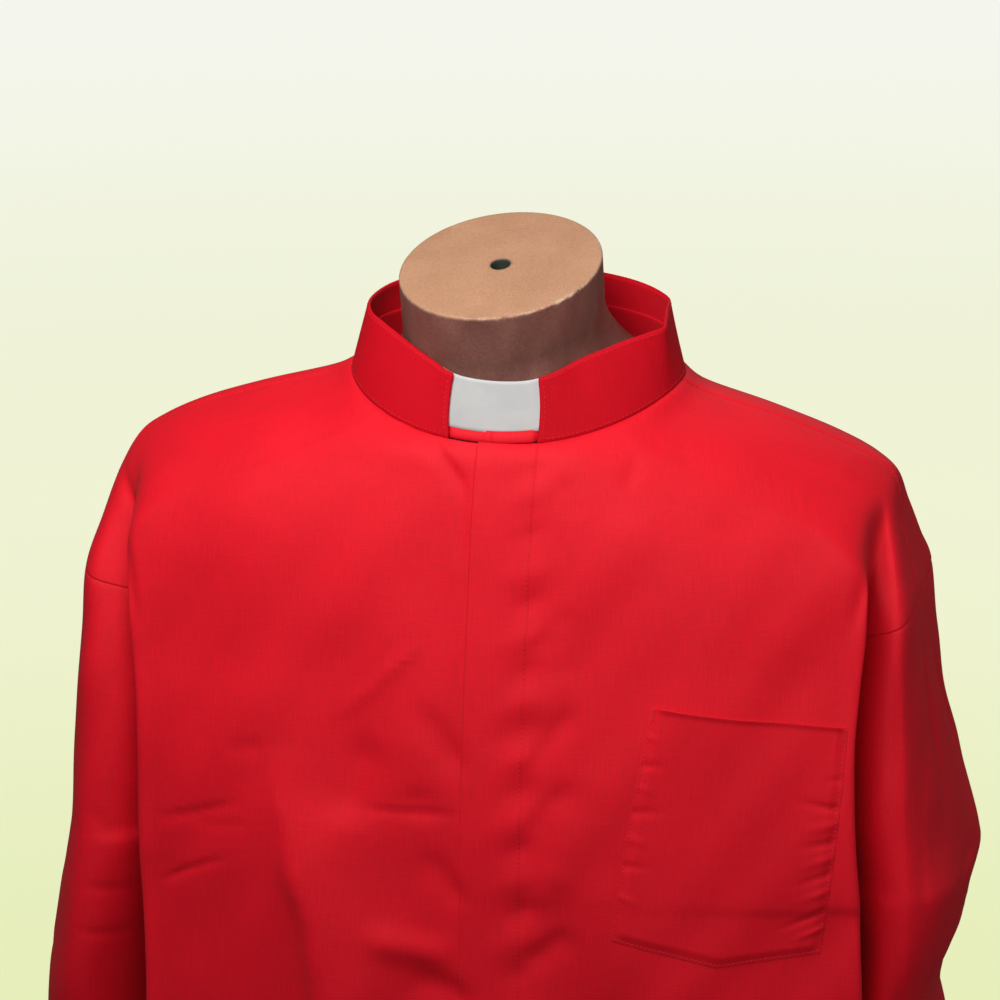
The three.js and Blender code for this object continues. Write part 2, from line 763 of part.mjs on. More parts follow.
// The faces of the front panel inside the pocket's outline, with their shared corners joined.
function pocketFaces() {
  const { topInner, topOuter, bottomOuter, bottomPoint, bottomInner } = POCKET;
  const outline = [topInner, topOuter, bottomOuter, bottomPoint, bottomInner];
  const joined = new Map();
  const shared = (corner) => {
    const key = corner.position.toArray().map((value) => value.toFixed(3)).join(" ");
    if (!joined.has(key)) joined.set(key, corner);
    return joined.get(key);
  };
  const faces = [];
  for (const face of frontCells("left").flatMap(triangles)) {
    if (faceNormal(face).y > 0) continue;
    let corners = face;
    for (const [i, start] of outline.entries()) {
      corners = clipped(corners, start, outline[(i + 1) % outline.length]);
    }
    corners = corners.map(shared).filter((corner, i, all) => corner !== all[(i + 1) % all.length]);
    for (let i = 1; i < corners.length - 1; i++) {
      faces.push([corners[0], corners[i], corners[i + 1]]);
    }
  }
  return faces;
}

// ---- Dress form --------------------------------------------------------------------------------

// The torso below the shoulders: heights at the front and side, half width, and depths.
const TORSO_ROWS = table("frontZ sideZ halfWidth frontY backY", [
  [730, 764, 211, -99, 99],
  [712, 738, 199, -103, 100],
  [688, 706, 188, -106, 100],
  [645, 655, 179, -109, 99],
  [590, 594, 172, -109, 96],
  [520, 520, 164, -105, 92],
  [440, 440, 157, -99, 90],
  [360, 360, 158, -99, 93],
  [280, 280, 167, -102, 99],
  [190, 190, 176, -105, 104],
  [90, 90, 174, -104, 103],
  [12, 12, 168, -101, 99],
  [0, 0, 163, -97, 95],
]);
const TIP_ROW = 5; // the last row that lies on the form
const CHEST_EASE = 4; // how far the cloth stands off the form in front and behind
const EASE_START = 25; // from the shoulder's ridge, where the ease begins and where it is whole
const EASE_END = 85;
const NECK_EASE = 1.6; // at the neckline, under the collar

// All of a body ring's points in one list, round from the centre front.
function wholeRing(ring) {
  const right = ring.right.slice(1, LAST_COLUMN).reverse();
  return [...ring.left.slice(0, LAST_COLUMN + 1), ...right];
}

// The form's shoulders follow the cloth that they carry.
function shoulderRing(ring, row) {
  const neckEase = row === 0 ? NECK_EASE : 0;
  return wholeRing(ring).map(({ position, normal }) => {
    const ease = neckEase + CHEST_EASE * smoothstep(Math.abs(position.y), EASE_START, EASE_END);
    return position.clone().addScaledVector(normal, -(WALL + SEATED_GAP + ease));
  });
}

function torsoRing(row, angles) {
  return angles.map((angle) => {
    const forward = Math.cos(angle);
    const y = forward > 0 ? row.frontY * forward : -row.backY * forward;
    const z = lerp(row.sideZ, row.frontZ, Math.abs(forward));
    return point(row.halfWidth * Math.sin(angle), y, z);
  });
}

// The neck cap's plane, as its centre and two directions in it, and the neck's own direction.
function capFrame() {
  const turn = new THREE.Euler(degToRad(CAP.forwardLean), -degToRad(CAP.sideLean), 0);
  return {
    centre: point(CAP.x, CAP.y, CAP.z),
    side: point(1, 0, 0).applyEuler(turn),
    front: point(0, -1, 0).applyEuler(turn),
    up: point(0, 0, 1).applyEuler(new THREE.Euler(degToRad(NECK_LEAN), 0, 0)),
  };
}

function capRing(angles, radius, drop) {
  const { centre, side, front, up } = capFrame();
  return angles.map((angle) =>
    centre
      .clone()
      .addScaledVector(side, radius * Math.sin(angle))
      .addScaledVector(front, radius * Math.cos(angle))
      .addScaledVector(up, -drop),
  );
}

// The neck: straight below its cap, then flaring out to the shoulders' first ring.
function neckRings(angles, shoulders) {
  const foot = capRing(angles, CAP.radius, NECK.straight);
  const corner = capRing(angles, CAP.radius + NECK.spread, NECK.straight + NECK.bend);
  const flare = [3, 2, 1].map((step) => step / 4).map((t) =>
    foot.map((start, i) => {
      const curve = new THREE.QuadraticBezierCurve3(shoulders[i], corner[i], start);
      return curve.getPoint(t);
    }),
  );
  return [
    capRing(angles, CAP_HOLE.radius, CAP_HOLE.depth),
    capRing(angles, CAP_HOLE.radius, 0),
    capRing(angles, CAP.radius - CAP.chamfer, 0),
    capRing(angles, CAP.radius, CAP.chamfer),
    foot,
    ...flare,
  ];
}

// Rings joined into one closed solid, with a flat end at the first and the last.
function ringSolid(rings) {
  const around = rings[0].length;
  const positions = rings.flat().flatMap((corner) => corner.toArray());
  const indices = [];
  for (let ring = 0; ring < rings.length - 1; ring++) {
    for (let i = 0; i < around; i++) {
      const next = (i + 1) % around;
      const [a, b] = [ring * around + i, ring * around + next];
      const [c, d] = [b + around, a + around];
      indices.push(a, d, c, a, c, b);
    }
  }
  for (const [ring, first, second] of [[0, 0, 1], [rings.length - 1, 1, 0]]) {
    const centre = positions.length / 3;
    const middle = point(0, 0, 0);
    for (const corner of rings[ring]) middle.addScaledVector(corner, 1 / around);
    positions.push(...middle.toArray());
    for (let i = 0; i < around; i++) {
      const ends = [ring * around + i, ring * around + ((i + 1) % around)];
      indices.push(centre, ends[first], ends[second]);
    }
  }
  return indexedGeometry(positions, indices);
}

function dressForm() {
  const shoulders = bodyRings.slice(0, TIP_ROW + 1).map(shoulderRing);
  const tip = shoulders[TIP_ROW];
  const halfWidth = Math.max(...tip.map(({ x }) => Math.abs(x)));
  const depth = Math.max(...tip.map(({ y }) => -y));
  const angles = tip.map(({ x, y }) => Math.atan2(x / halfWidth, -y / depth));
  const torso = TORSO_ROWS.map((row) => torsoRing(row, angles));
  return ringSolid([...neckRings(angles, shoulders[0]), ...shoulders, ...torso]);
}

// ---- The group ---------------------------------------------------------------------------------

const part = new THREE.Group();
const MATT = 0.85;
const SATIN = 0.5;
const ON_TOP = SEAM_GAP + WALL; // the lift of a piece that lies on a panel

function add(name, geometry, color, roughness = MATT) {
  const material = new THREE.MeshStandardMaterial({ color, roughness });
  const mesh = new THREE.Mesh(geometry, material);
  mesh.name = name;
  part.add(mesh);
}

add("dress_form", dressForm(), COLOURS.form, SATIN);
add("yoke", shell(yokeCells), COLOURS.body);
add("back", shell(backCells), COLOURS.body);
add("fly_placket", shell(flyCells, { lift: ON_TOP }), COLOURS.body);
add("chest_pocket", wallOf(pocketFaces(), { lift: ON_TOP, gap: 0 }), COLOURS.body);
for (const name of ["left", "right"]) {
  add(`front_${name}`, shell(frontCells(name)), COLOURS.body);
  add(`sleeve_${name}`, shell(sleeveCells(name)), COLOURS.sleeves);
  add(`cuff_${name}`, shell(cuffCells(name)), COLOURS.sleeves);
  add(`cuff_button_${name}`, cuffButton(name), COLOURS.buttons, SATIN);
}
add("collar", shell(collarCells(), { wall: COLLAR.wall }), COLOURS.body);
add("neckband", shell(neckbandCells(), { wall: NECKBAND.wall }), COLOURS.body);
add("collar_tab", shell(tabCells(), { wall: TAB.wall }), COLOURS.tab, SATIN);

export default part;
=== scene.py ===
import math

import bpy
import numpy as np
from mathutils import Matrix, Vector
from mathutils.bvhtree import BVHTree


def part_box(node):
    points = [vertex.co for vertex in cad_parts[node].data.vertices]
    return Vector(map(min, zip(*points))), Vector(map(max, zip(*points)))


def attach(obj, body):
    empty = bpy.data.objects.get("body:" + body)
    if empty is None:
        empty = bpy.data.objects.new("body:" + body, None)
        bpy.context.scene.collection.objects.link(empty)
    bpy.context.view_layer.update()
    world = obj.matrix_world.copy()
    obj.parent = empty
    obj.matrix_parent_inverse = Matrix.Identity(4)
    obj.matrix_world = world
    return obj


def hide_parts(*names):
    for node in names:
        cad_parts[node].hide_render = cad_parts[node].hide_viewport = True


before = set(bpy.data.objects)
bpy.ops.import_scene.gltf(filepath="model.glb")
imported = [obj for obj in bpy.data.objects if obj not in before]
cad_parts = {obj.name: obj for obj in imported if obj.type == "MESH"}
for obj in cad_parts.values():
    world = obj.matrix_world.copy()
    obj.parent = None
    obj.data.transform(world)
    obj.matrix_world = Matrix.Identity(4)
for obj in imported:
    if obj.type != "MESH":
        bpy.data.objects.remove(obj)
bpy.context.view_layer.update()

MM = 0.001

# ---- Small helpers -----------------------------------------------------------------------------


def table(names, rows):
    """Rows of numbers with named columns."""
    keys = names.split()
    return [dict(zip(keys, row)) for row in rows]


def lerp(a, b, t):
    return a + (b - a) * t


def smooth(t):
    """From 0 to 1 in a soft step, as t goes from 0 to 1."""
    t = np.clip(t, 0, 1)
    return t * t * (3 - 2 * t)


def unit(vectors):
    length = np.linalg.norm(vectors, axis=-1, keepdims=True)
    return vectors / np.maximum(length, 1e-12)


def spline_at(points, t, closed=False):
    """Points of a centripetal Catmull-Rom curve through points, at parameters t."""
    points = np.asarray(points, float)
    t = np.asarray(t, float)
    count = len(points)
    span = np.floor(t).astype(int)
    if closed:
        p0, p1, p2, p3 = (points[(span + k) % count] for k in (-1, 0, 1, 2))
    else:
        span = np.clip(span, 0, count - 2)
        before, after = 2 * points[0] - points[1], 2 * points[-1] - points[-2]
        longer = np.concatenate([before[None], points, after[None]])
        p0, p1, p2, p3 = (longer[span + k] for k in range(4))
    w = (t - span).reshape((-1,) + (1,) * (points.ndim - 1))

    def gap(a, b):
        return np.maximum(np.sum((a - b) ** 2, axis=-1, keepdims=True), 1e-8) ** 0.25

    d0, d1, d2 = gap(p0, p1), gap(p1, p2), gap(p2, p3)
    leave = ((p1 - p0) / d0 - (p2 - p0) / (d0 + d1) + (p2 - p1) / d1) * d1
    arrive = ((p2 - p1) / d1 - (p3 - p1) / (d1 + d2) + (p3 - p2) / d2) * d1
    w2, w3 = w * w, w * w * w
    ends = (2 * w3 - 3 * w2 + 1) * p1 + (3 * w2 - 2 * w3) * p2
    return ends + (w3 - 2 * w2 + w) * leave + (w3 - w2) * arrive


def curve_through(rows, names, at, steps=400):
    """The later columns of a smooth curve through a table's rows, where its first column is at."""
    known = np.array([[row[name] for name in names.split()] for row in rows], float)
    line = spline_at(known, np.linspace(0, len(known) - 1, steps))
    return [np.interp(at, line[:, 0], line[:, k]) for k in range(1, line.shape[1])]


def bell(x, centre, width):
    """A smooth bump: 1 at its centre, and near 0 at two widths from it."""
    return np.exp(-(((x - centre) / width) ** 2))


# ---- Sizes, in millimetres ---------------------------------------------------------------------

CLOTH = 0.7  # the thickness of one panel of cloth
CAP = dict(centre=(-7, -19, 900), radius=58.5, forward_lean=19, side_lean=4)
NECK_LEAN = 17
NECKLINE_GAP = 0.5  # from the collar's base to the neckline
COLLAR = dict(
    base_half_width=97, base_front_y=-78, base_back_y=72,
    rim_half_width=88, rim_front_y=-71, rim_back_y=66,
    front_height=34, back_height=38, end_left=26.5, end_right=-25.5,
)
NECKLINE = dict(front_z=810, side_z=836, back_z=842, front_power=1.6)
FLY = dict(edge_x=-6.5, closing_x=10.5, stitch_x=27.5)
NECKBAND = dict(front_height=21, back_height=19)
TAB = dict(hidden_end=12, bottom=6)  # bottom: the strip of neckband that shows under it
CUFF_HEIGHT = 64

# Rows run round the garment, from the neckline (row 0) over the shoulders and down to the hem. At
# SEAM_ROW the sleeves are sewn on, and at ARMPIT_ROW sleeve and body part.
SEAM_ROW = 8
ARMPIT_ROW = 12

# Heights round the row from the centre front to the centre back, then the depths at both.
BODY_ROWS = table("front_z edge_z side_z back_edge_z back_z front_y back_y", [
    [803, 812, 829, 824, 830, -84, 78],
    [788, 798, 817, 806, 817, -90, 86],
    [773, 786, 805, 789, 804, -95, 93],
    [758, 775, 795, 774, 792, -99, 99],
    [745, 763, 785, 761, 781, -102, 103],
    [731, 744, 764, 748, 770, -105, 106],
    [713, 718, 740, 735, 759, -109, 108],
    [692, 679, 719, 721, 748, -113.5, 109],
    [658, 652, 680, 694, 712, -120, 111],
    [624, 622, 640, 652, 662, -125, 112],
    [592, 591, 600, 606, 612, -128, 113],
    [560, 560, 560, 560, 560, -129, 113],
    [555, 555, 555, 555, 555, -129, 113],
    [500, 500, 502, 500, 500, -130, 113],
    [430, 431, 434, 431, 430, -131, 112],
    [350, 352, 358, 352, 350, -131, 112],
    [260, 264, 274, 264, 260, -131, 113],
    [165, 172, 190, 170, 162, -132, 114],
    [46, 58, 98, 54, 40, -133, 115],
])
# Each side's plan: the front's edge, the fold between body and sleeve, and the sleeve.
SIDE_COLUMNS = "edge_x edge_y fold_x fold_y fore_x fore_y outer_x"
LEFT_ROWS = table(SIDE_COLUMNS, [
    [84, -62, 97, -38, 105, -18, 108],
    [114, -65.5, 134, -44, 147, -20, 152],
    [142, -67.5, 167, -43, 181, -22, 186],
    [170, -68.5, 192, -41, 204, -20, 207],
    [194, -70, 210, -38, 217, -18, 219],
    [211, -75, 212, -44, 222, -30, 224],
    [214, -82, 209, -50, 226, -46, 230],
    [212, -91, 203, -53, 230, -61, 236],
    [211, -97, 198, -49, 232, -71, 241],
    [212, -101, 194, -36, 235, -78, 249],
    [214, -104, 190, -19, 239, -84, 259],
    [217, -106, 188, -2.2, 242, -86, 271],
    [217, -105, 185, 0],
    [220, -107, 184, 0],
    [222, -108, 185, 0],
    [222, -108, 188, 0],
    [224, -109, 192, 0],
    [226, -110, 196, 0],
    [228, -111, 200, 0],
])
RIGHT_ROWS = table(SIDE_COLUMNS, [
    [86, -62, 99, -38, 108, -18, 111],
    [116, -65.5, 137, -44, 151, -20, 156],
    [146, -67.5, 172, -43, 187, -22, 192],
    [174, -68.5, 198, -41, 209, -20, 213],
    [198, -70, 216, -38, 224, -18, 227],
    [213, -75, 219, -43, 234, -29, 239],
    [213, -82, 214, -50, 239, -45, 246],
    [208, -90, 205, -53, 242, -59, 252],
    [205, -96, 198, -49, 243, -69, 255],
    [204, -100, 192, -36, 243, -77, 259],
    [204, -102, 188, -19, 244, -82, 263],
    [203, -104, 186, -2.2, 245, -84, 268],
    [203, -104, 183, 0],
    [201, -105, 181, 0],
    [201, -106, 181, 0],
    [202, -107, 184, 0],
    [206, -107, 188, 0],
    [211, -108, 192, 0],
    [214, -109, 196, 0],
])
SLEEVE_COLUMNS = "z inner_x fore_x outer_x fore_y aft_y"
LEFT_SLEEVE_ROWS = table(SLEEVE_COLUMNS, [
    [555, 189.5, 242, 272, -86, 89],
    [519, 197, 237, 264, -84, 86],
    [478, 198, 229, 252, -81, 82],
    [430, 199, 229, 257, -77, 78],
    [360, 202, 232, 261, -72, 75],
    [280, 206, 235, 264, -69, 72],
    [212, 210, 237, 264, -64, 67],
    [190, 214, 238, 261, -59, 61],
])
RIGHT_SLEEVE_ROWS = table(SLEEVE_COLUMNS, [
    [555, 187.5, 245, 269, -84, 87],
    [512, 199, 247, 276, -82, 84],
    [472, 208, 250, 282, -79, 80],
    [426, 216, 254, 286, -75, 76],
    [360, 222, 256, 290, -71, 74],
    [280, 227, 259, 291, -68, 71],
    [212, 232, 260, 288, -63, 66],
    [190, 236, 260, 284, -58, 60],
])

# Soft vertical drapes: each starts at top_z, deepens over DRAPE_START and runs to the hem.
DRAPE_START = 110
DRAPE_REACH = 212  # no drape lies further than this from the middle
DRAPE_CLEAR = 17  # nor as near as this to the front closing
DRAPE_FADE = 30  # the width of the soft step at both limits
FRONT_DRAPES = table("top_x top_z bottom_x width lift", [
    [-134, 640, -150, 20, 2],
    [-34, 560, -48, 20, -6],
    [-10, 420, -14, 26, 4],
    [78, 560, 70, 26, -5],
    [150, 500, 128, 24, 6],
    [186, 470, 178, 18, -5],
])
BACK_DRAPES = table("top_x top_z bottom_x width lift", [
    [-150, 640, -128, 24, 7],
    [-104, 600, -84, 20, -6],
    [-46, 520, -34, 28, 5],
    [18, 560, 24, 22, -5],
    [84, 620, 70, 26, 6],
    [140, 580, 118, 20, -6],
    [180, 600, 168, 18, 5],
])

# Creases: soft troughs (lift below 0) and ridges between two places. The skew makes one flank
# steeper, and the bow bends the line sideways.
CREASE_COLUMNS = "from_x from_z to_x to_z bow width lift skew"
FRONT_CREASES = table(CREASE_COLUMNS, [
    # the wearer's right front: soft ridges and troughs beside the fly
    [-30, 706, -88, 650, 2, 2.4, 1.8, 0.3],
    [-62, 652, -80, 592, 3, 12, -3.0, -0.35],
    [-76, 604, 2, 607, 0, 2.2, -0.9, 0.4],
    [-34, 622, -26, 596, 0, 9, -1.1, 0],
    [-40, 507, 6, 490, 3, 10, -2.8, 0.2],
    [-70, 533, -6, 522, -3, 9, 3.0, 0],
    [-36, 672, -2, 624, 0, 8, -1.9, 0.2],
    [-28, 586, -2, 548, 0, 8, -1.8, 0.2],
    # light creases across the side of the front
    [-198, 583, -134, 604, -2, 2.4, -1.2, 0.4],
    [-172, 584, -126, 588, 1, 2.2, -0.7, 0.4],
    [-196, 541, -140, 569, 2, 2.2, -1.2, 0.4],
    [-150, 628, -120, 634, 2, 5, -0.7, 0],
    # puckers under the collar
    [-74, 821, -44, 806, 2, 4, -1.4, 0.2],
    [-44, 816, -10, 781, 3, 4.5, -2.1, 0.2],
    [-14, 802, -13, 738, 0, 5, -1.2, 0],
    [84, 808, 76, 786, 1, 4, -1.2, 0.3],
    [40, 798, 52, 770, 2, 7, -0.7, 0],
    # beside the fly's stitched edge
    [31, 631, 60, 674, 2, 6, -1.7, 0.3],
    [30, 655, 56, 692, 0, 7, 0.9, 0],
    [30, 698, 54, 728, 0, 6, -1.0, 0.3],
    [29, 593, 60, 632, 2, 7, -1.6, 0.3],
    [28, 518, 60, 544, 0, 7, -1.8, 0.3],
    [28, 552, 58, 582, 0, 8, 1.0, 0],
    # the shallow dip above the pocket and the one between it and the fly
    [120, 700, 196, 684, 3, 16, -0.9, 0],
    [66, 636, 78, 560, 0, 12, -1.2, 0.2],
    # the pleats where the wearer's left sleeve hangs from the shoulder's tip
    [194, 798, 228, 786, -2, 3, -2.4, 0.3],
    [216, 778, 206, 706, 1, 3.6, -2.4, 0.2],
    [212, 786, 228, 712, 0, 3.4, -2.4, 0.4],
    [222, 788, 234, 724, 0, 3, 1.2, 0],
    [229, 716, 238, 560, 0, 3, -1.5, 0.5],
    [236, 590, 240, 400, 0, 3.4, -1.5, 0.4],
    [236, 716, 246, 640, 0, 3, -1.5, 0.5],
    [244, 664, 256, 500, 0, 3.6, -1.5, 0.5],
    # the start of the wearer's right hanging fold, then its sleeve
    [-250, 786, -210, 736, 2, 3.6, -2.8, 0.3],
    [-219, 752, -206, 690, 1, 3.6, -2.4, 0.2],
    [-244, 577, -219, 553, 2, 2.4, -1.0, 0.4],
    [-246, 529, -215, 519, 2, 2.4, -1.1, 0.4],
    [-250, 500, -217, 490, 2, 2.6, -1.0, 0.4],
    [-214, 548, -206, 528, 0, 4, -1.2, 0],
])
BACK_CREASES = table(CREASE_COLUMNS, [
    [-130, 700, -60, 640, 4, 9, -2.2, 0.2],
    [140, 690, 80, 630, -4, 9, -2.2, -0.2],
    [-60, 560, -8, 548, 2, 4, -1.0, 0.3],
    [96, 510, 150, 540, 2, 4, -1.1, 0.3],
    [-180, 600, -120, 560, 3, 8, -2.0, 0.2],
    [186, 590, 120, 548, 3, 8, -2.0, 0.2],
    [-30, 420, 40, 436, 2, 6, -1.4, 0.2],
])
# The long hanging fold of the wearer's right front: the line of its sharp crest, and its height.
# It is hollow towards the wearer's right and nearly flat towards the left.
LONG_FOLD = table("z x lift", [
    [636, -121, 0],
    [612, -117, 2.0],
    [593, -110.5, 5.5],
    [568, -106.5, 9],
    [537, -95.5, 12],
    [499, -90.5, 13.5],
    [440, -88, 13],
    [300, -82, 11],
    [120, -75, 10],
    [0, -72, 10],
])
LONG_FOLD_HOLLOW = dict(steep=7, gentle=38, gentle_share=0.32, round=0.10)
LONG_FOLD_FLAT = 44  # the width over which the flat side comes down again
# On the sleeves' outer sides, across y and z; x stands for y here.
LEFT_SIDE_CREASES = table(CREASE_COLUMNS, [
    [-20, 700, -34, 590, 2, 6, -2.0, 0.2],
    [16, 690, 26, 600, 2, 7, -2.2, 0],
    [-52, 548, 18, 566, 4, 6, -1.3, 0.3],
    [-44, 520, 40, 534, -4, 7, 1.2, 0],
    [-58, 492, 30, 500, 5, 6, -1.4, 0.3],
    [-30, 452, 54, 470, 3, 5, -1.6, 0.2],
    [-50, 380, 10, 360, 3, 7, -1.4, 0.2],
    [-36, 262, 44, 276, 3, 6, -1.6, 0.2],
])
RIGHT_SIDE_CREASES = table(CREASE_COLUMNS, [
    [-22, 704, -30, 596, 2, 6, -1.6, 0.2],
    [20, 696, 30, 610, 2, 7, -2.2, 0],
    [-60, 534, 20, 518, 4, 6, -1.1, 0.3],
    [-40, 506, 44, 512, -4, 7, 1.0, 0],
    [-56, 470, 36, 482, 5, 6, -1.3, 0.3],
    [-24, 428, 50, 440, 3, 5, -1.6, 0.2],
    [-48, 352, 20, 336, 3, 7, -1.4, 0.2],
    [-40, 250, 40, 262, 3, 6, -1.6, 0.2],
])

# ---- The collar's rings ------------------------------------------------------------------------


def forwardness(degrees):
    return (1 + np.cos(np.radians(degrees))) / 2


def collar_height(degrees):
    return lerp(COLLAR["back_height"], COLLAR["front_height"], forwardness(degrees))


def base_height(degrees):
    forward = np.cos(np.radians(degrees))
    front = lerp(NECKLINE["side_z"], NECKLINE["front_z"], np.maximum(forward, 0) ** NECKLINE["front_power"])
    back = lerp(NECKLINE["side_z"], NECKLINE["back_z"], np.maximum(-forward, 0))
    return np.where(forward > 0, front, back)


def collar_point(degrees, rise, inset):
    """On the collar's outer face, moved in by inset. 0 degrees is the front, 90 the left side."""
    angle = np.radians(degrees)
    half_width = lerp(COLLAR["base_half_width"], COLLAR["rim_half_width"], rise) - inset
    front_y = lerp(COLLAR["base_front_y"], COLLAR["rim_front_y"], rise) + inset
    back_y = lerp(COLLAR["base_back_y"], COLLAR["rim_back_y"], rise) - inset
    x = half_width * np.sin(angle)
    y = lerp(back_y, front_y, forwardness(degrees))
    z = base_height(degrees) + rise * collar_height(degrees)
    return np.stack(np.broadcast_arrays(x, y, z), axis=-1)


def angle_on_collar(x):
    return math.degrees(math.asin(x / COLLAR["base_half_width"]))


# ---- Control points of the rows ----------------------------------------------------------------

SEAM_STEPS = (0.025, 0.06, 0.11)  # shares of a span, close beside a seam
SEAM_CLEAR = 0.012  # an even line as near as this to one of those is left out


def span(count, seam_start=False, seam_end=False, start=0.0, end=1.0):
    """The fractions of one span at which the net has a line; the end belongs to the next span."""
    close = [step for step in SEAM_STEPS if seam_start]
    close += [1 - step for step in SEAM_STEPS if seam_end]
    even = [i / count for i in range(count)]
    even = [f for f in even if f == 0 or all(abs(f - step) > SEAM_CLEAR for step in close)]
    return [lerp(start, end, fraction) for fraction in sorted(even + close)]


YOKE_AT = 2 / 3  # of the way from the fore column to the outer one
TO_YOKE = span(14, seam_end=True, end=YOKE_AT)
COLUMN_SPANS = {
    "front": span(8, seam_end=True),
    "fly": span(26, seam_start=True),
    "chest": span(42),
    "brim": span(6),
    "edge": span(8),
    "tuck": span(7, seam_end=True),
    "fold": span(10, seam_start=True),
    "fore": TO_YOKE + span(8, seam_start=True, start=YOKE_AT),
    "outer": span(20),
    "aft": span(10, seam_end=True),
    "back_fold": span(8, seam_start=True),
    "back_tuck": span(8),
    "back_edge": span(26),
    "blade": span(26),
    "centre_back": [0.0],
}
NAMES = list(COLUMN_SPANS)
NECK_ANGLES = dict(zip(NAMES[2:], (31, 44.5, 47, 57, 66, 78, 90, 102, 113, 123, 134, 157, 180)))
FIRST = dict(zip(NAMES, np.cumsum([0] + [len(COLUMN_SPANS[name]) for name in NAMES[:-1]])))
FLY_COLUMN = FIRST["fly"]
FOLD_COLUMN = FIRST["fold"]
YOKE_COLUMN = FIRST["fore"] + len(TO_YOKE)
BACK_FOLD_COLUMN = FIRST["back_fold"]
COLUMN_COUNT = FIRST["centre_back"] + 1

SIDES = {
    "left": dict(sign=1, rows=LEFT_ROWS, sleeve=LEFT_SLEEVE_ROWS, fly_x=FLY["stitch_x"]),
    "right": dict(sign=-1, rows=RIGHT_ROWS, sleeve=RIGHT_SLEEVE_ROWS, fly_x=FLY["edge_x"]),
}
BRIM_AT = 0.87  # of the way from the chest column to the edge
BRIM_ROUND = 0.8  # how far the brim stands forward where the edge is still round
CRISP_FROM, CRISP_OVER = 4.5, 3  # the rows over which the hanging fold's edge turns crisp
SOFT_TUCK = dict(across=0.55, depth=0.45)  # the tuck's place between the edge and the fold
CRISP_TUCK = dict(across=0.36, depth=0.26)
CHEST = dict(across=0.56, depth=0.2, height=0.4)  # its place between the middle and the edge
BLADE = dict(across=0.54, depth=0.15, height=0.4)
BACK_EDGE_INSET = 4
OUTER_Y = 3  # the sleeve's outermost line lies this far behind the middle
AFT_SHIFT = 4  # and its back is that much deeper than its front
TUCK_RISE, FOLD_RISE, FORE_RISE = 0.25, 0.5, 0.8  # shares of the way from the edge's height to the side's


def row_controls(side, index):
    """One row's control points. The back repeats the front's plan, a little shallower.

    The hanging fold beside each armhole turns back more sharply below the shoulder's tip.
    """
    body, plan = BODY_ROWS[index - 1], side["rows"][index - 1]
    front_y, back_y = body["front_y"], body["back_y"]
    front_z, edge_z, side_z = body["front_z"], body["edge_z"], body["side_z"]
    back_edge_z, back_z = body["back_edge_z"], body["back_z"]
    edge_x, edge_y, fold_x, fold_y = (plan[key] for key in ("edge_x", "edge_y", "fold_x", "fold_y"))
    back_edge_y = edge_y * back_y / front_y
    crisp = float(smooth((index - CRISP_FROM) / CRISP_OVER))
    across, depth = (lerp(SOFT_TUCK[key], CRISP_TUCK[key], crisp) for key in ("across", "depth"))
    tuck_x = lerp(edge_x, fold_x, across)

    def at(x, y, z):
        return np.array([side["sign"] * x, y, z], float)

    def between(place, y, z, edge_y, edge_z):
        return at(place["across"] * edge_x, lerp(y, edge_y, place["depth"]), lerp(z, edge_z, place["height"]))

    edge = at(edge_x, edge_y, edge_z)
    chest = between(CHEST, front_y, front_z, edge_y, edge_z)
    controls = {
        "front": np.array([FLY["closing_x"], front_y, front_z], float),
        "fly": np.array([side["fly_x"], front_y, front_z], float),
        "chest": chest,
        "brim": chest + (edge - chest) * BRIM_AT - (0, BRIM_ROUND * (1 - crisp), 0),
        "edge": edge,
        "tuck": at(tuck_x, lerp(edge_y, fold_y, depth), lerp(edge_z, side_z, TUCK_RISE)),
        "fold": at(fold_x, fold_y, lerp(edge_z, side_z, FOLD_RISE)),
        "back_fold": at(fold_x, -fold_y, lerp(back_edge_z, side_z, FOLD_RISE)),
        "back_tuck": at(tuck_x, lerp(back_edge_y, -fold_y, depth), lerp(back_edge_z, side_z, TUCK_RISE)),
        "back_edge": at(edge_x - BACK_EDGE_INSET, back_edge_y, back_edge_z),
        "blade": between(BLADE, back_y, back_z, back_edge_y, back_edge_z),
        "centre_back": np.array([0, back_y, back_z], float),
    }
    if index <= ARMPIT_ROW:
        controls["fore"] = at(plan["fore_x"], plan["fore_y"], lerp(edge_z, side_z, FORE_RISE))
        controls["outer"] = at(plan["outer_x"], OUTER_Y, side_z)
        controls["aft"] = at(plan["fore_x"], AFT_SHIFT - plan["fore_y"], lerp(back_edge_z, side_z, FORE_RISE))
    return controls


def neckline_row(side):
    """The first row follows the collar's base."""
    angles = {"front": angle_on_collar(FLY["closing_x"]), "fly": angle_on_collar(side["fly_x"])}
    angles.update({name: side["sign"] * angle for name, angle in NECK_ANGLES.items()})
    degrees = []
    for name, following in zip(NAMES, NAMES[1:] + NAMES[-1:]):
        degrees += [lerp(angles[name], angles[following], f) for f in COLUMN_SPANS[name]]
    return collar_point(np.array(degrees), 0.0, -NECKLINE_GAP)


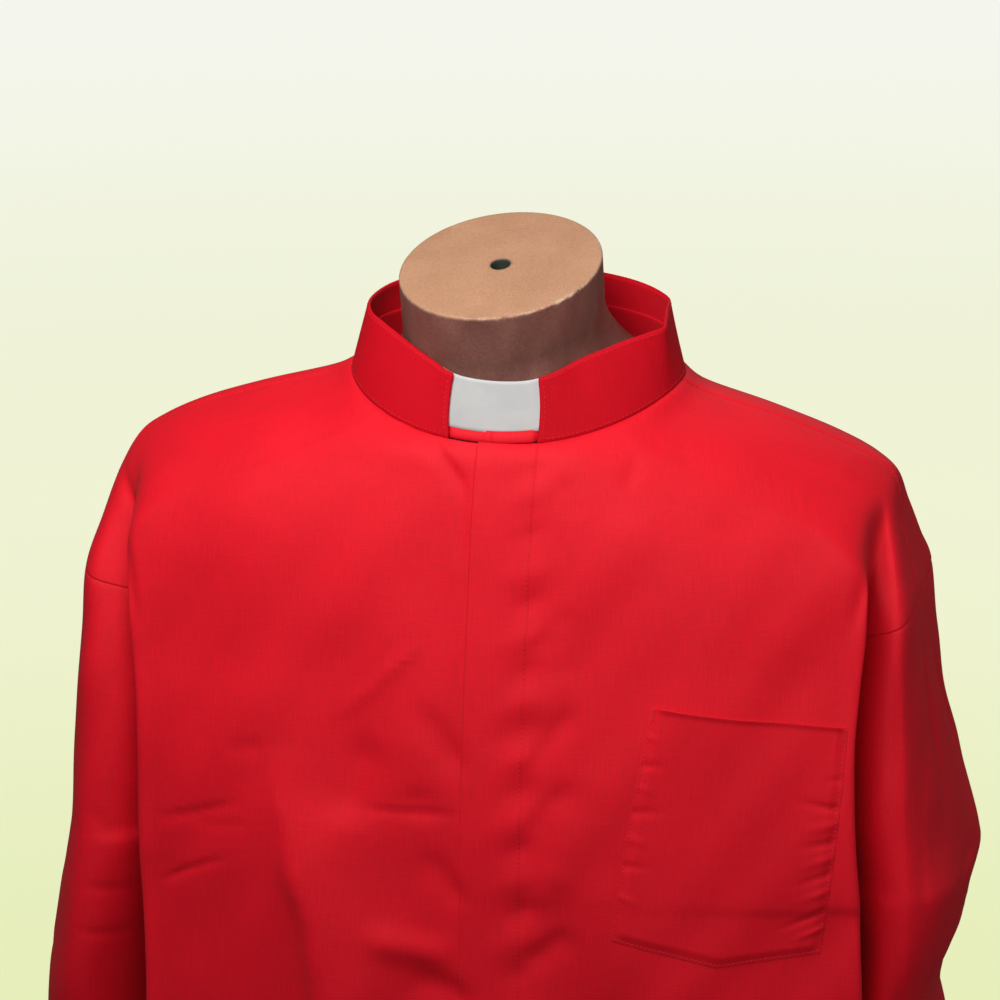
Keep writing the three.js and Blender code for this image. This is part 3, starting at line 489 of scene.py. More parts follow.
def body_rows(left, right, has_sleeve):
    """The fine points of one closed row, for both sides; a row below the armpit has no sleeve."""
    missing = () if has_sleeve else ("fore", "outer", "aft", "back_fold")
    names = [name for name in NAMES if name not in missing]
    controls = [left[name] for name in names] + [right[name] for name in names[-2:0:-1]]
    positions, columns = [], []
    for i, name in enumerate(names):
        lines = COLUMN_SPANS[name]
        first = FIRST[name]
        if name == "fold" and not has_sleeve:
            lines, first = COLUMN_SPANS["back_fold"], BACK_FOLD_COLUMN
        positions += [i + fraction for fraction in lines]
        columns += [first + step for step in range(len(lines))]
    rows = []
    for t in (np.array(positions), (len(controls) - np.array(positions)) % len(controls)):
        row = np.zeros((COLUMN_COUNT, 3))
        row[columns] = spline_at(controls, t, closed=True)
        if not has_sleeve:
            row[FOLD_COLUMN:BACK_FOLD_COLUMN] = row[BACK_FOLD_COLUMN]
        rows.append(row)
    return rows


# A hanging sleeve is flat in front and behind: the flatness grows from FLAT_TOP down, over
# FLAT_REACH, to FLAT_MOST, and the powers say how square its inner and outer sides turn.
FLAT_TOP, FLAT_REACH, FLAT_MOST = 730, 110, 0.75
FLAT_INNER_POWER, FLAT_OUTER_POWER = 1.5, 2.6


def flattened(points, sign):
    """A hanging sleeve's row pressed flatter in front and behind, so that it turns at its sides."""
    share = FLAT_MOST * smooth((FLAT_TOP - points[:, 2]) / FLAT_REACH)
    x, y = sign * points[:, 0], points[:, 1]
    middle, half = (x.max() + x.min()) / 2, (x.max() - x.min()) / 2
    across = np.clip((x - middle) / half, -1, 1)
    power = np.where(across > 0, FLAT_OUTER_POWER, FLAT_INNER_POWER)
    oval = (1 - np.abs(across) ** power) ** (1 / power)
    outer_y = y[np.argmax(x)]
    flat = points.copy()
    for behind, end_y, face_y in ((False, y[0], y.min()), (True, y[-1], y.max())):
        target = np.where(across > 0, outer_y, end_y)
        target = target + (face_y - target) * oval
        here = (np.arange(len(y)) > np.argmax(x)) == behind
        flat[here, 1] = lerp(y, target, share)[here]
    return flat


def sleeve_row(side, row):
    """The fine points of one closed row of a sleeve, from the fold round to the fold."""
    sign = side["sign"]
    controls = np.array([
        [sign * row["inner_x"], 0, row["z"]],
        [sign * row["fore_x"], row["fore_y"], row["z"]],
        [sign * row["outer_x"], OUTER_Y, row["z"]],
        [sign * row["fore_x"], row["aft_y"], row["z"]],
    ], float)
    names = ("fold", "fore", "outer", "aft")
    positions = [i + fraction for i, name in enumerate(names) for fraction in COLUMN_SPANS[name]]
    return flattened(spline_at(controls, np.array(positions + [0.0]), closed=True), sign)


# ---- The net -----------------------------------------------------------------------------------

ROW_STEP = 2.8  # millimetres between the net's rows


def row_lines(rows, seam_rows):
    """Parameters of the fine rows between the given ones, closer together beside a seam."""
    lengths = np.linalg.norm(np.diff(rows, axis=0), axis=-1).mean(axis=1)
    lines = []
    for i, length in enumerate(lengths):
        count = max(2, int(round(length / ROW_STEP)))
        lines += [i + f for f in span(count, seam_start=i in seam_rows, seam_end=i + 1 in seam_rows)]
    return np.array(lines + [len(rows) - 1.0])


def drape_lift(drapes, x, z):
    lift = np.zeros_like(z)
    for drape in drapes:
        depth = smooth((drape["top_z"] - z) / DRAPE_START)
        share = (drape["top_z"] - z) / drape["top_z"]
        middle = lerp(drape["top_x"], drape["bottom_x"], share)
        lift += drape["lift"] * depth * bell(x, middle, drape["width"])
    return lift


CREASE_FADE = 0.35  # of a crease's length, at each end


def crease_lift(creases, x, z):
    lift = np.zeros_like(z)
    for crease in creases:
        run_x, run_z = crease["to_x"] - crease["from_x"], crease["to_z"] - crease["from_z"]
        length = math.hypot(run_x, run_z)
        from_x, from_z = x - crease["from_x"], z - crease["from_z"]
        t = np.clip((from_x * run_x + from_z * run_z) / length**2, 0, 1)
        across = (from_z * run_x - from_x * run_z) / length - crease["bow"] * 4 * t * (1 - t)
        width = crease["width"] * np.where(across > 0, 1 - crease["skew"], 1 + crease["skew"])
        depth = smooth(t / CREASE_FADE) * smooth((1 - t) / CREASE_FADE)
        lift += crease["lift"] * depth * bell(across, 0, width)
    return lift


def long_fold_lift(x, z):
    crest, lift = curve_through(LONG_FOLD[::-1], "z x lift", z)
    before, beyond = np.minimum(x - crest, 0), np.maximum(x - crest, 0)
    bend = LONG_FOLD_HOLLOW["round"]
    steep, gentle = (np.exp(bend - np.sqrt((before / LONG_FOLD_HOLLOW[key]) ** 2 + bend**2))
                     for key in ("steep", "gentle"))
    hollow = lerp(steep, gentle, LONG_FOLD_HOLLOW["gentle_share"])
    return lift * hollow * bell(beyond, 0, LONG_FOLD_FLAT)


# Slow waves that keep large areas from looking machined: wave lengths along x, y and z.
WAVES = table("x y z lift phase", [
    [170, 260, 240, 0.9, 0.3],
    [-120, 210, 150, 0.6, 1.9],
    [90, -130, 310, 0.5, 4.1],
    [-64, 100, 84, 0.3, 2.6],
    [45, 80, -58, 0.22, 5.2],
])


def wave_lift(points):
    lift = np.zeros(points.shape[:-1])
    for wave in WAVES:
        turns = points[..., 0] / wave["x"] + points[..., 1] / wave["y"] + points[..., 2] / wave["z"]
        lift += wave["lift"] * np.sin(2 * math.pi * turns + wave["phase"])
    return lift


SIDE_FADE = 30  # from the middle of the depth, front and back creases grow over this much
NECK_CLEAR, NECK_FADE = 4, 40  # the waves start below the neckline and grow over this much
SLEEVE_SIDE, SLEEVE_SIDE_FADE = 222, 26  # the creases on the sleeves' sides start this far out


def creased(points, with_drapes):
    """The points moved by the drapes, the creases and the slow waves, alike on both sides of a seam."""
    x, y, z = points[..., 0], points[..., 1], points[..., 2]
    front, back = smooth(-y / SIDE_FADE), smooth(y / SIDE_FADE)
    away_from_neck = smooth((base_height(0) - NECK_CLEAR - z) / NECK_FADE)
    off_closing = smooth((np.abs(x - FLY["closing_x"]) - DRAPE_CLEAR) / DRAPE_FADE)
    moved = points.copy()
    if with_drapes:
        inside = smooth((DRAPE_REACH - np.abs(x)) / DRAPE_FADE)
        moved[..., 1] -= drape_lift(FRONT_DRAPES, x, z) * (y < 0) * inside * off_closing
        moved[..., 1] += drape_lift(BACK_DRAPES, x, z) * (y >= 0) * inside
    moved[..., 1] -= front * crease_lift(FRONT_CREASES, x, z)
    if with_drapes:
        moved[..., 1] -= front * long_fold_lift(x, z) * off_closing
    moved[..., 1] += back * crease_lift(BACK_CREASES, x, z)
    waves = wave_lift(points) * away_from_neck
    moved[..., 1] += (back - front * off_closing) * waves
    for sign, creases in ((1, LEFT_SIDE_CREASES), (-1, RIGHT_SIDE_CREASES)):
        outward = smooth((sign * x - SLEEVE_SIDE) / SLEEVE_SIDE_FADE)
        moved[..., 0] += sign * outward * (crease_lift(creases, y, z) + waves)
    return moved


def make_body():
    """The body's fine points for each side, with the sleeve's points above the armpit."""
    given = {name: [neckline_row(side)] for name, side in SIDES.items()}
    hanging = slice(FOLD_COLUMN, BACK_FOLD_COLUMN + 1)
    for i in range(1, len(BODY_ROWS) + 1):
        controls = [row_controls(side, i) for side in SIDES.values()]
        for name, row in zip(SIDES, body_rows(*controls, i <= ARMPIT_ROW)):
            if SEAM_ROW <= i <= ARMPIT_ROW:
                row[hanging] = flattened(row[hanging], SIDES[name]["sign"])
            given[name].append(row)
    lines = row_lines(np.array(given["left"])[:, :FOLD_COLUMN], (SEAM_ROW,))
    nets = {name: spline_at(np.array(rows), lines) for name, rows in given.items()}
    return given, lines, nets


def make_sleeve(name, given, body_lines, body_net):
    """A sleeve's fine points, from the neckline's row down to the cuff."""
    upper = [row[FOLD_COLUMN:BACK_FOLD_COLUMN + 1] for row in given[name][:ARMPIT_ROW + 1]]
    lower = [sleeve_row(SIDES[name], row) for row in SIDES[name]["sleeve"]]
    rows = np.array(upper + lower)
    above = body_lines[body_lines <= ARMPIT_ROW]
    below = row_lines(rows[ARMPIT_ROW:], ())[1:] + ARMPIT_ROW
    net = spline_at(rows, np.concatenate([above, below]))
    net[:len(above), 0] = body_net[:len(above), FOLD_COLUMN]
    net[:len(above), -1] = body_net[:len(above), BACK_FOLD_COLUMN]
    return net


given_rows, LINES, body = make_body()
sleeve = {name: make_sleeve(name, given_rows, LINES, body[name]) for name in SIDES}
body = {name: creased(net, True) for name, net in body.items()}
sleeve = {name: creased(net, False) for name, net in sleeve.items()}
body["right"][:, 0] = body["left"][:, 0]
SEAM_LINE = int(np.where(LINES == SEAM_ROW)[0][0])


# ---- Shells ------------------------------------------------------------------------------------


def normals_of(points, cells):
    """The smooth normals of a net, from the cells that it holds."""
    a, b = points[:-1, :-1], points[1:, :-1]
    c, d = points[1:, 1:], points[:-1, 1:]
    face = np.cross(c - a, d - b) * cells[..., None]
    total = np.zeros_like(points)
    total[:-1, :-1] += face
    total[1:, :-1] += face
    total[1:, 1:] += face
    total[:-1, 1:] += face
    return unit(total)


TOP, BOTTOM, START, END = (0, False), (0, True), (1, False), (1, True)  # a net's edges


def from_edge(points, axis, at_end):
    """The distance of each point from the net's first or last line, along the net."""
    steps = np.linalg.norm(np.diff(points, axis=axis), axis=-1)
    zero = np.zeros_like(steps.take([0], axis=axis))
    if at_end:
        flipped = np.flip(steps, axis)
        return np.flip(np.concatenate([zero, flipped.cumsum(axis)], axis), axis)
    return np.concatenate([zero, steps.cumsum(axis)], axis)


def cloth_map(points, origin):
    """Cloth coordinates in millimetres: along each row from one column, and up from the last row."""
    across = from_edge(points, *START)
    across = across - across[:, origin, None]
    return np.stack([across, from_edge(points, *BOTTOM)], axis=-1)


def all_cells(points):
    return np.ones((points.shape[0] - 1, points.shape[1] - 1), bool)


def quads_of(points, cells):
    """The four corners' numbers of each cell that a net holds."""
    rows, columns = points.shape[:2]
    index = np.arange(rows * columns).reshape(rows, columns)
    quads = np.stack([index[:-1, :-1], index[1:, :-1], index[1:, 1:], index[:-1, 1:]], axis=-1)
    return quads[cells]


def boundary_edges(faces):
    """Directed edges that have a face on one side only."""
    edges = np.concatenate([np.stack([faces[:, k], faces[:, (k + 1) % 4]], 1) for k in range(4)])
    size = int(faces.max()) + 1
    forward = edges[:, 0] * size + edges[:, 1]
    backward = edges[:, 1] * size + edges[:, 0]
    return edges[~np.isin(forward, backward)]


class Surface:
    """The outer face of a piece of cloth, as a grid of points with their normals."""

    def __init__(self, points, normals):
        self.points = points
        self.normals = normals

    def beside(self, edge, distance):
        """A line that keeps a distance from one edge: TOP or BOTTOM row, START or END column."""
        axis, at_end = edge
        grids = [from_edge(self.points, axis, at_end), self.points, self.normals]
        if axis == 0:
            grids = [np.swapaxes(grid, 0, 1) for grid in grids]
        if at_end:
            grids = [grid[:, ::-1] for grid in grids]
        path, outward = (
            [[np.interp(distance, d, line[:, k]) for k in range(3)] for d, line in zip(grids[0], grid)]
            for grid in grids[1:])
        return np.array(path), unit(np.array(outward))


def make_mesh(name, points, faces, uv=None):
    """A smooth mesh from points in millimetres, all faces with the same number of corners."""
    mesh = bpy.data.meshes.new(name)
    corners = faces.shape[1]
    mesh.vertices.add(len(points))
    mesh.vertices.foreach_set("co", (points * MM).astype(np.float32).ravel())
    mesh.loops.add(faces.size)
    mesh.loops.foreach_set("vertex_index", faces.astype(np.int32).ravel())
    mesh.polygons.add(len(faces))
    starts = np.arange(len(faces), dtype=np.int32) * corners
    mesh.polygons.foreach_set("loop_start", starts)
    mesh.polygons.foreach_set("use_smooth", np.ones(len(faces), bool))
    mesh.update(calc_edges=True)
    if uv is not None:
        layer = mesh.uv_layers.new(name="cloth")
        layer.data.foreach_set("uv", (uv[faces.ravel()] * MM).astype(np.float32).ravel())
    mesh.validate()
    piece = bpy.data.objects.new(name, mesh)
    bpy.context.scene.collection.objects.link(piece)
    return piece


def rounded_edge(outer, inner, out, faces, depth):
    """Points between both faces along the open edges, moved outwards by depth, and the side faces."""
    edges = boundary_edges(faces)
    away = np.zeros_like(outer)
    sideways = np.cross(outer[edges[:, 1]] - outer[edges[:, 0]], out[edges[:, 0]])
    np.add.at(away, edges[:, 0], unit(sideways))
    np.add.at(away, edges[:, 1], unit(sideways))
    rim = np.unique(edges)
    count = len(outer)
    rim_index = np.full(count, -1)
    rim_index[rim] = 2 * count + np.arange(len(rim))
    middle = (outer[rim] + inner[rim]) / 2 + unit(away[rim]) * depth
    a, b = edges[:, 0], edges[:, 1]
    sides = np.concatenate([
        np.stack([b, a, rim_index[a], rim_index[b]], 1),
        np.stack([rim_index[b], rim_index[a], a + count, b + count], 1),
    ])
    return rim, middle, sides


def shell(name, points, cells=None, wall=CLOTH, lift=0.0, edge=0.35, origin=0):
    """A closed wall of cloth on a net: outer face, inner face, and a rounded edge between them.

    The lift moves the wall off the net, and edge says how round its edge is, as a share of the wall.
    """
    cells = all_cells(points) if cells is None else cells
    normals = normals_of(points, cells)
    rows, columns = points.shape[:2]
    used, faces = np.unique(quads_of(points, cells), return_inverse=True)
    faces = faces.reshape(-1, 4)
    lift = np.broadcast_to(np.asarray(lift, float), (rows, columns)).reshape(-1, 1)[used]
    place = points.reshape(-1, 3)[used]
    out = normals.reshape(-1, 3)[used]
    uv = cloth_map(points, origin).reshape(-1, 2)[used]
    outer = place + out * lift
    inner = outer - out * wall
    rim, middle, sides = rounded_edge(outer, inner, out, faces, wall * edge)
    everything = np.concatenate([faces, faces[:, ::-1] + len(outer), sides])
    piece = make_mesh(name, np.concatenate([outer, inner, middle]), everything,
                      np.concatenate([uv, uv, uv[rim]]))
    lifts = np.zeros(rows * columns)
    lifts[used] = lift[:, 0]
    surface = Surface(points + normals * lifts.reshape(rows, columns, 1), normals)
    return piece, surface


def ring_faces(rings, around):
    """Triangles between rings of points, one ring after another."""
    faces = []
    for ring in range(rings - 1):
        for i in range(around):
            j = (i + 1) % around
            a, b = ring * around + i, ring * around + j
            c, d = b + around, a + around
            faces += [(a, d, c), (a, c, b)]
    return np.array(faces)


def closed_rings(rings, around):
    """The rings' triangles, and those to a middle point at each end; the middles come last."""
    caps = []
    for first, middle, step in ((0, rings * around, 1), ((rings - 1) * around, rings * around + 1, -1)):
        caps += [(middle, first + i, first + (i + 1) % around)[::step] for i in range(around)]
    return np.concatenate([ring_faces(rings, around), caps])


def inner_faces(piece, net, material_index):
    """Give the inner face of a whole net's shell its own material."""
    count = (net.shape[0] - 1) * (net.shape[1] - 1)
    index = np.zeros(len(piece.data.polygons), np.int32)
    index[count:2 * count] = material_index
    piece.data.polygons.foreach_set("material_index", index)


def finish_piece(piece, material, slot, *nodes):
    piece.data.materials.append(material)
    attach(piece, "root")
    if nodes:
        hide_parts(*nodes)
    return piece


# ---- Materials ---------------------------------------------------------------------------------


class Nodes:
    """A short way to write a material's node tree."""

    def __init__(self, name):
        self.material = bpy.data.materials.new(name)
        self.material.use_nodes = True
        self.tree = self.material.node_tree
        self.shader = self.tree.nodes["Principled BSDF"]

    def add(self, kind, settings=None, **inputs):
        node = self.tree.nodes.new(kind)
        for key, value in (settings or {}).items():
            setattr(node, key, value)
        for key, value in inputs.items():
            self.set(node, key, value)
        return node

    def set(self, node, key, value):
        """Link or set an input, given by its name or, as in _0, by its number."""
        socket = node.inputs[int(key[1:]) if key[0] == "_" else key.replace("_", " ")]
        if isinstance(value, bpy.types.NodeSocket):
            self.tree.links.new(value, socket)
        else:
            socket.default_value = value

    def shade(self, **inputs):
        for key, value in inputs.items():
            self.set(self.shader, key, value)

    def place(self):
        return self.add("ShaderNodeTexCoord").outputs["Object"]

    def noise(self, vector, scale, detail=2.0, roughness=0.5):
        """Noise whose scale is one number, or one for each direction."""
        scales = scale if isinstance(scale, tuple) else (scale,) * 3
        node = self.add("ShaderNodeMapping", {"vector_type": "POINT"}, Vector=vector, Scale=scales)
        node = self.add("ShaderNodeTexNoise", Vector=node.outputs["Vector"], Scale=1.0, Detail=detail,
                        Roughness=roughness)
        return node.outputs["Fac"]

    def math(self, operation, a, b):
        return self.add("ShaderNodeMath", {"operation": operation}, _0=a, _1=b).outputs["Value"]

    def weighted(self, a, share_a, b, share_b):
        return self.math("ADD", self.math("MULTIPLY", a, share_a), self.math("MULTIPLY", b, share_b))

    def mapped(self, value, low, high, to_low=0.0, to_high=1.0):
        node = self.add("ShaderNodeMapRange", {"interpolation_type": "SMOOTHSTEP"}, Value=value,
                        From_Min=low, From_Max=high, To_Min=to_low, To_Max=to_high)
        return node.outputs["Result"]

    def mixed(self, factor, a, b, blend="MIX"):
        settings = {"data_type": "RGBA", "blend_type": blend}
        return self.add("ShaderNodeMix", settings, _0=factor, _6=a, _7=b).outputs[2]

    def blend(self, value, low, high, a, b):
        """Colour a where the value is below low, b above high, and a soft mix between."""
        return self.mixed(self.mapped(value, low, high), a, b)

    def bumped(self, height, strength, distance):
        settings = dict(Height=height, Strength=strength, Distance=distance)
        return self.add("ShaderNodeBump", **settings).outputs["Normal"]


RED = (0.76, 0.0024, 0.0150, 1)
RED_DEEP = (0.60, 0.0018, 0.0116, 1)
SHADED_RED = (0.57, 0.0018, 0.0110, 1)  # the collar's and neckband's cloth over its firm interlining, the same red made darker as painted shade
SHADED_RED_DEEP = (0.45, 0.0013, 0.0086, 1)


def cloth_material(name, base=RED, deep=RED_DEEP, specular=0.22, sheen=0.05):
    """Plain-woven poly-cotton: uneven threads both ways, a fine weave and a faint nap."""
    nodes = Nodes(name)
    uv = nodes.add("ShaderNodeUVMap", {"uv_map": "cloth"}).outputs["UV"]
    warp = nodes.noise(uv, (1500, 60, 1))
    weft = nodes.noise(uv, (70, 1500, 1))
    slub = nodes.weighted(warp, 0.55, weft, 0.45)
    fine = nodes.noise(uv, (1300, 1300, 1))
    cloudy = nodes.noise(uv, (18, 14, 1), detail=3)
    threads = nodes.weighted(slub, 0.55, fine, 0.45)
    shade = nodes.weighted(threads, 0.8, cloudy, 0.2)
    nodes.shade(
        Base_Color=nodes.blend(shade, 0.36, 0.64, deep, base),
        Roughness=nodes.mapped(fine, 0.2, 0.8, 0.62, 0.76),
        Specular_IOR_Level=specular,
        Sheen_Weight=sheen,
        Sheen_Roughness=0.5,
        Sheen_Tint=(1.0, 0.3, 0.3, 1),
        Normal=nodes.bumped(threads, 0.22, 0.0004),
    )
    return nodes.material


def plain_material(name, dark, light, roughness, scale, detail, grain_scale=None, **settings):
    """Two near shades in soft clouds, and a roughness that follows the clouds or a finer grain."""
    nodes = Nodes(name)
    place = nodes.place()
    clouds = grain = nodes.noise(place, scale, detail)
    if grain_scale:
        grain = nodes.noise(place, grain_scale)
        settings["Normal"] = nodes.bumped(grain, 0.05, 0.0003)
    nodes.shade(
        Base_Color=nodes.blend(clouds, 0.35, 0.65, (*dark, 1), (*light, 1)),
        Roughness=nodes.mapped(grain, 0.3, 0.7, *roughness),
        **settings,
    )
    return nodes.material


CAP_MARKS = ("top", "rim", "hole")  # the attributes of the dress form


def form_material():
    """Brown satin paint; the attributes say how near the cap's top, its worn rim and the hole a place is, and
    the hole's wall is painted near-black as painted shade.
    """
    nodes = Nodes("form_paint")
    place = nodes.place()
    top, rim, hole = (nodes.add("ShaderNodeAttribute", {"attribute_name": key}).outputs["Fac"]
                      for key in CAP_MARKS)
    cloudy = nodes.noise(place, (38, 38, 26), detail=5, roughness=0.6)
    speckle = nodes.noise(place, 420, detail=3)
    side = nodes.blend(cloudy, 0.3, 0.7, (0.20, 0.080, 0.062, 1), (0.29, 0.122, 0.094, 1))
    side = nodes.mixed(nodes.mapped(speckle, 0.66, 0.74, 0, 0.35), side, (0.34, 0.19, 0.15, 1))
    tan = nodes.blend(cloudy, 0.3, 0.7, (0.43, 0.222, 0.126, 1), (0.47, 0.25, 0.145, 1))
    tan = nodes.mixed(nodes.mapped(speckle, 0.64, 0.72, 0, 0.5), tan, (0.34, 0.18, 0.11, 1))
    paint = nodes.mixed(top, side, tan)
    grain = nodes.noise(place, (900, 1500, 900), detail=3, roughness=0.7)
    darker = nodes.mixed(1.0, paint, (0.80, 0.78, 0.76, 1), blend="MULTIPLY")
    paint = nodes.blend(grain, 0.56, 0.38, paint, darker)
    chips = nodes.noise(place, 150, detail=4, roughness=0.7)
    patches = nodes.mapped(nodes.noise(place, 16, detail=1), 0.42, 0.6)
    worn = nodes.math("MULTIPLY", rim, nodes.mapped(chips, 0.48, 0.6, 0, 0.8))
    worn = nodes.math("MULTIPLY", worn, nodes.mapped(patches, 0, 1, 0.25, 1))
    paint = nodes.mixed(worn, paint, (0.60, 0.45, 0.34, 1))
    dents = nodes.math("MULTIPLY", rim, nodes.mapped(chips, 0.42, 0.36))
    dents = nodes.math("MULTIPLY", dents, patches)
    paint = nodes.mixed(dents, paint, (0.05, 0.03, 0.025, 1))
    # Painted shade: the hole's wall is painted a near-black grey-green.
    paint = nodes.mixed(hole, paint, (0.035, 0.042, 0.034, 1))
    height = nodes.weighted(speckle, 0.5, chips, 0.5)
    nodes.shade(
        Base_Color=paint,
        Roughness=nodes.mapped(cloudy, 0.3, 0.7, 0.46, 0.62),
        Specular_IOR_Level=0.4,
        Normal=nodes.bumped(height, 0.18, 0.0004),
    )
    return nodes.material


RED_CLOTH = cloth_material("red_poplin")
# A darker copy of the red poplin: painted shade on the collar's outer face.
RED_SHADED = cloth_material("red_poplin_painted_shade", SHADED_RED, SHADED_RED_DEEP, specular=0.1, sheen=0.02)
THREAD = plain_material(
    "red_thread", (0.52, 0.006, 0.014), (0.74, 0.014, 0.026), (0.5, 0.66), 2400, 1, Specular_IOR_Level=0.3)
TAB_WHITE = plain_material(
    "white_tab", (0.46, 0.46, 0.46), (0.50, 0.498, 0.492), (0.42, 0.52), 60, 3, 900, Specular_IOR_Level=0.4)
BUTTON_RED = plain_material(
    "red_button", (0.36, 0.008, 0.016), (0.48, 0.015, 0.026), (0.24, 0.34), 300, 3, Coat_Weight=0.2)
FORM_PAINT = form_material()


# ---- Panels ------------------------------------------------------------------------------------


def side_net(name, columns):
    """A side's columns from left to right as seen from outside."""
    net = body[name][:, columns[0]:columns[1]]
    return net if name == "left" else net[:, ::-1]


SOFT_SEAM = dict(depth=0.6, width=2.0)  # at the neckline and the armhole
NECK_SEAM_FROM, NECK_SEAM_OVER = 22, 6  # the neckline's seam comes in beside the tab
SLEEVE_END_SEAM = dict(depth=0.5, width=2.0)
FLY_SIDE_SEAM = dict(depth=0.4, width=1.2)
FLY_TOP_SEAM = dict(depth=0.9, width=2.0)
# Under the fly each front steps back: how far in from the fly's edge or stitching, and how deep.
UNDER_FLY = dict(left_inset=1.0, right_inset=2.5, depth=1.1, step=1.6)


def seam_sink(distance, depth=0.5, width=1.6):
    """How far cloth dips beside a seam, given the distance from it."""
    return -depth * bell(distance, 0, width)


def front_panel(name):
    net = side_net(name, (0, YOKE_COLUMN + 1))
    is_left = name == "left"
    cells = all_cells(net)
    column = np.arange(YOKE_COLUMN)
    column = column if is_left else column[::-1]
    row = np.arange(len(cells))
    cells &= ~((row[:, None] >= SEAM_LINE) & (column[None] >= FOLD_COLUMN))
    x = net[..., 0]
    if is_left:
        beyond = FLY["stitch_x"] - UNDER_FLY["left_inset"] - x
    else:
        beyond = -(FLY["edge_x"] + UNDER_FLY["right_inset"] - x)
    lift = -UNDER_FLY["depth"] * smooth(beyond / UNDER_FLY["step"] + 0.5)
    beside_tab = smooth((np.abs(x) - NECK_SEAM_FROM) / NECK_SEAM_OVER)
    lift += seam_sink(from_edge(net, *TOP), **SOFT_SEAM) * beside_tab
    lift += seam_sink(from_edge(net, *(END if is_left else START)))
    return net, cells, lift


def panel(node, net, material=RED_CLOTH, **form):
    """A shell of red cloth that takes the place of one of the CAD model's nodes."""
    piece, surface = shell(f"shirt_{node}", net, **form)
    finish_piece(piece, material, "shirt_red", node)
    return piece, surface


def make_front(name):
    net, cells, lift = front_panel(name)
    closing = 0 if name == "left" else -1
    piece, surface = panel(f"front_{name}", net, cells=cells, lift=lift, origin=closing)
    return surface, cells


YOKE_LIFT = 0.35  # the yoke is double, so it stands a little above its neighbours


def whole_net(rows, first_column):
    """Some rows of the body across the back, from the left side to the right one."""
    right = body["right"][rows, first_column:-1][:, ::-1]
    return np.concatenate([body["left"][rows, first_column:], right], axis=1)


def make_yoke():
    net = whole_net(slice(SEAM_LINE + 1), YOKE_COLUMN)
    lift = YOKE_LIFT + seam_sink(from_edge(net, *START)) + seam_sink(from_edge(net, *END))
    lift += seam_sink(from_edge(net, *BOTTOM)) + seam_sink(from_edge(net, *TOP), **SOFT_SEAM)
    piece, surface = panel("yoke", net, lift=lift, origin=net.shape[1] // 2)
    return surface


def make_back():
    net = whole_net(slice(SEAM_LINE, None), BACK_FOLD_COLUMN)
    lift = seam_sink(from_edge(net, *TOP))
    piece, surface = panel("back", net, lift=lift, origin=net.shape[1] // 2)
    return surface


def make_sleeve_piece(name):
    net = sleeve[name][SEAM_LINE:]
    if name == "right":
        net = net[:, ::-1]
    lift = seam_sink(from_edge(net, *TOP), **SOFT_SEAM)
    lift += seam_sink(from_edge(net, *BOTTOM), **SLEEVE_END_SEAM)
    piece, surface = panel(f"sleeve_{name}", net, lift=lift, origin=net.shape[1] // 2)
    return surface


# The small puckers that the fly's stitching draws across its edge.
FLY_RIPPLES = table("z length width lift", [
    [799, 6, 12, -0.9], [786, 7, 13, 0.8], [764, 6, 10, -0.7], [743, 8, 14, 0.9], [726, 6, 9, -0.8],
    [708, 7, 15, 0.8], [688, 8, 11, -0.9], [672, 6, 12, 0.7], [656, 8, 16, -1.0],
    [640, 6, 10, 0.8], [622, 7, 12, -0.8], [604, 8, 15, 1.0], [588, 6, 10, -0.8],
    [570, 7, 14, 0.9], [551, 7, 11, -0.9], [533, 8, 14, 0.9], [514, 7, 10, -0.8],
    [488, 9, 14, 0.9], [455, 8, 12, -0.8], [426, 8, 14, 0.8], [392, 9, 12, -0.8],
    [350, 9, 14, 0.9], [312, 8, 12, -0.8], [268, 9, 14, 0.8], [222, 8, 12, -0.8],
    [176, 9, 14, 0.8], [128, 8, 12, -0.7], [84, 9, 12, 0.7],
])
RIPPLE_SLANT = 0.35
RIPPLE_SCALE = 1.35


def ripple_lift(x, z):
    lift = np.zeros_like(z)
    for ripple in FLY_RIPPLES:
        slanted = z - RIPPLE_SLANT * (x - FLY["stitch_x"])
        shape = bell(slanted, ripple["z"], ripple["length"])
        lift += RIPPLE_SCALE * ripple["lift"] * shape * bell(x, FLY["stitch_x"], ripple["width"])
    return lift


FLY_EDGE_LIFT = 2.5  # the fly's free edge stands this far out from the front beneath
FLY_SEWN_LIFT = 0.45
FLY_WALL = 1.2


def make_fly():
    left, right = body["left"][:, :FLY_COLUMN + 1], body["right"][:, :FLY_COLUMN + 1]
    net = np.concatenate([right[:, ::-1], left[:, 1:]], axis=1)
    share = (net[..., 0] - FLY["edge_x"]) / (FLY["stitch_x"] - FLY["edge_x"])
    lift = lerp(FLY_EDGE_LIFT, FLY_SEWN_LIFT, smooth(share))
    lift += seam_sink(from_edge(net, *END), **FLY_SIDE_SEAM)
    lift += seam_sink(from_edge(net, *TOP), **FLY_TOP_SEAM)
    piece, surface = panel("fly_placket", net, lift=lift, wall=FLY_WALL, edge=0.5)
    return surface


for net in body.values():
    near_front = smooth(-net[..., 1] / SIDE_FADE)
    net[..., 1] -= near_front * ripple_lift(net[..., 0], net[..., 2])

fronts = {name: make_front(name) for name in SIDES}
yoke_surface = make_yoke()
back_surface = make_back()
fly_surface = make_fly()
sleeve_surfaces = {name: make_sleeve_piece(name) for name in SIDES}


# ---- Chest pocket ------------------------------------------------------------------------------

# Its corners, and the place of its bottom point along the bottom edge.
POCKET = dict(
    top_inner=(100, 673), top_outer=(207, 662),
    bottom_inner=(80, 538), bottom_point=(140, 524), bottom_outer=(196, 533),
    point_at=0.52, side_bow=1.6, columns=84, rows=104,
)
POCKET_LIFT = 0.35  # off the front, at the sewn edges
POCKET_PUFF = 1.3  # and how much further out its middle is
POCKET_MOUTH = 0.8  # the open top edge stands a little further out
POCKET_LIP = 0.8  # the fold along the top edge
POCKET_WALL = 0.8
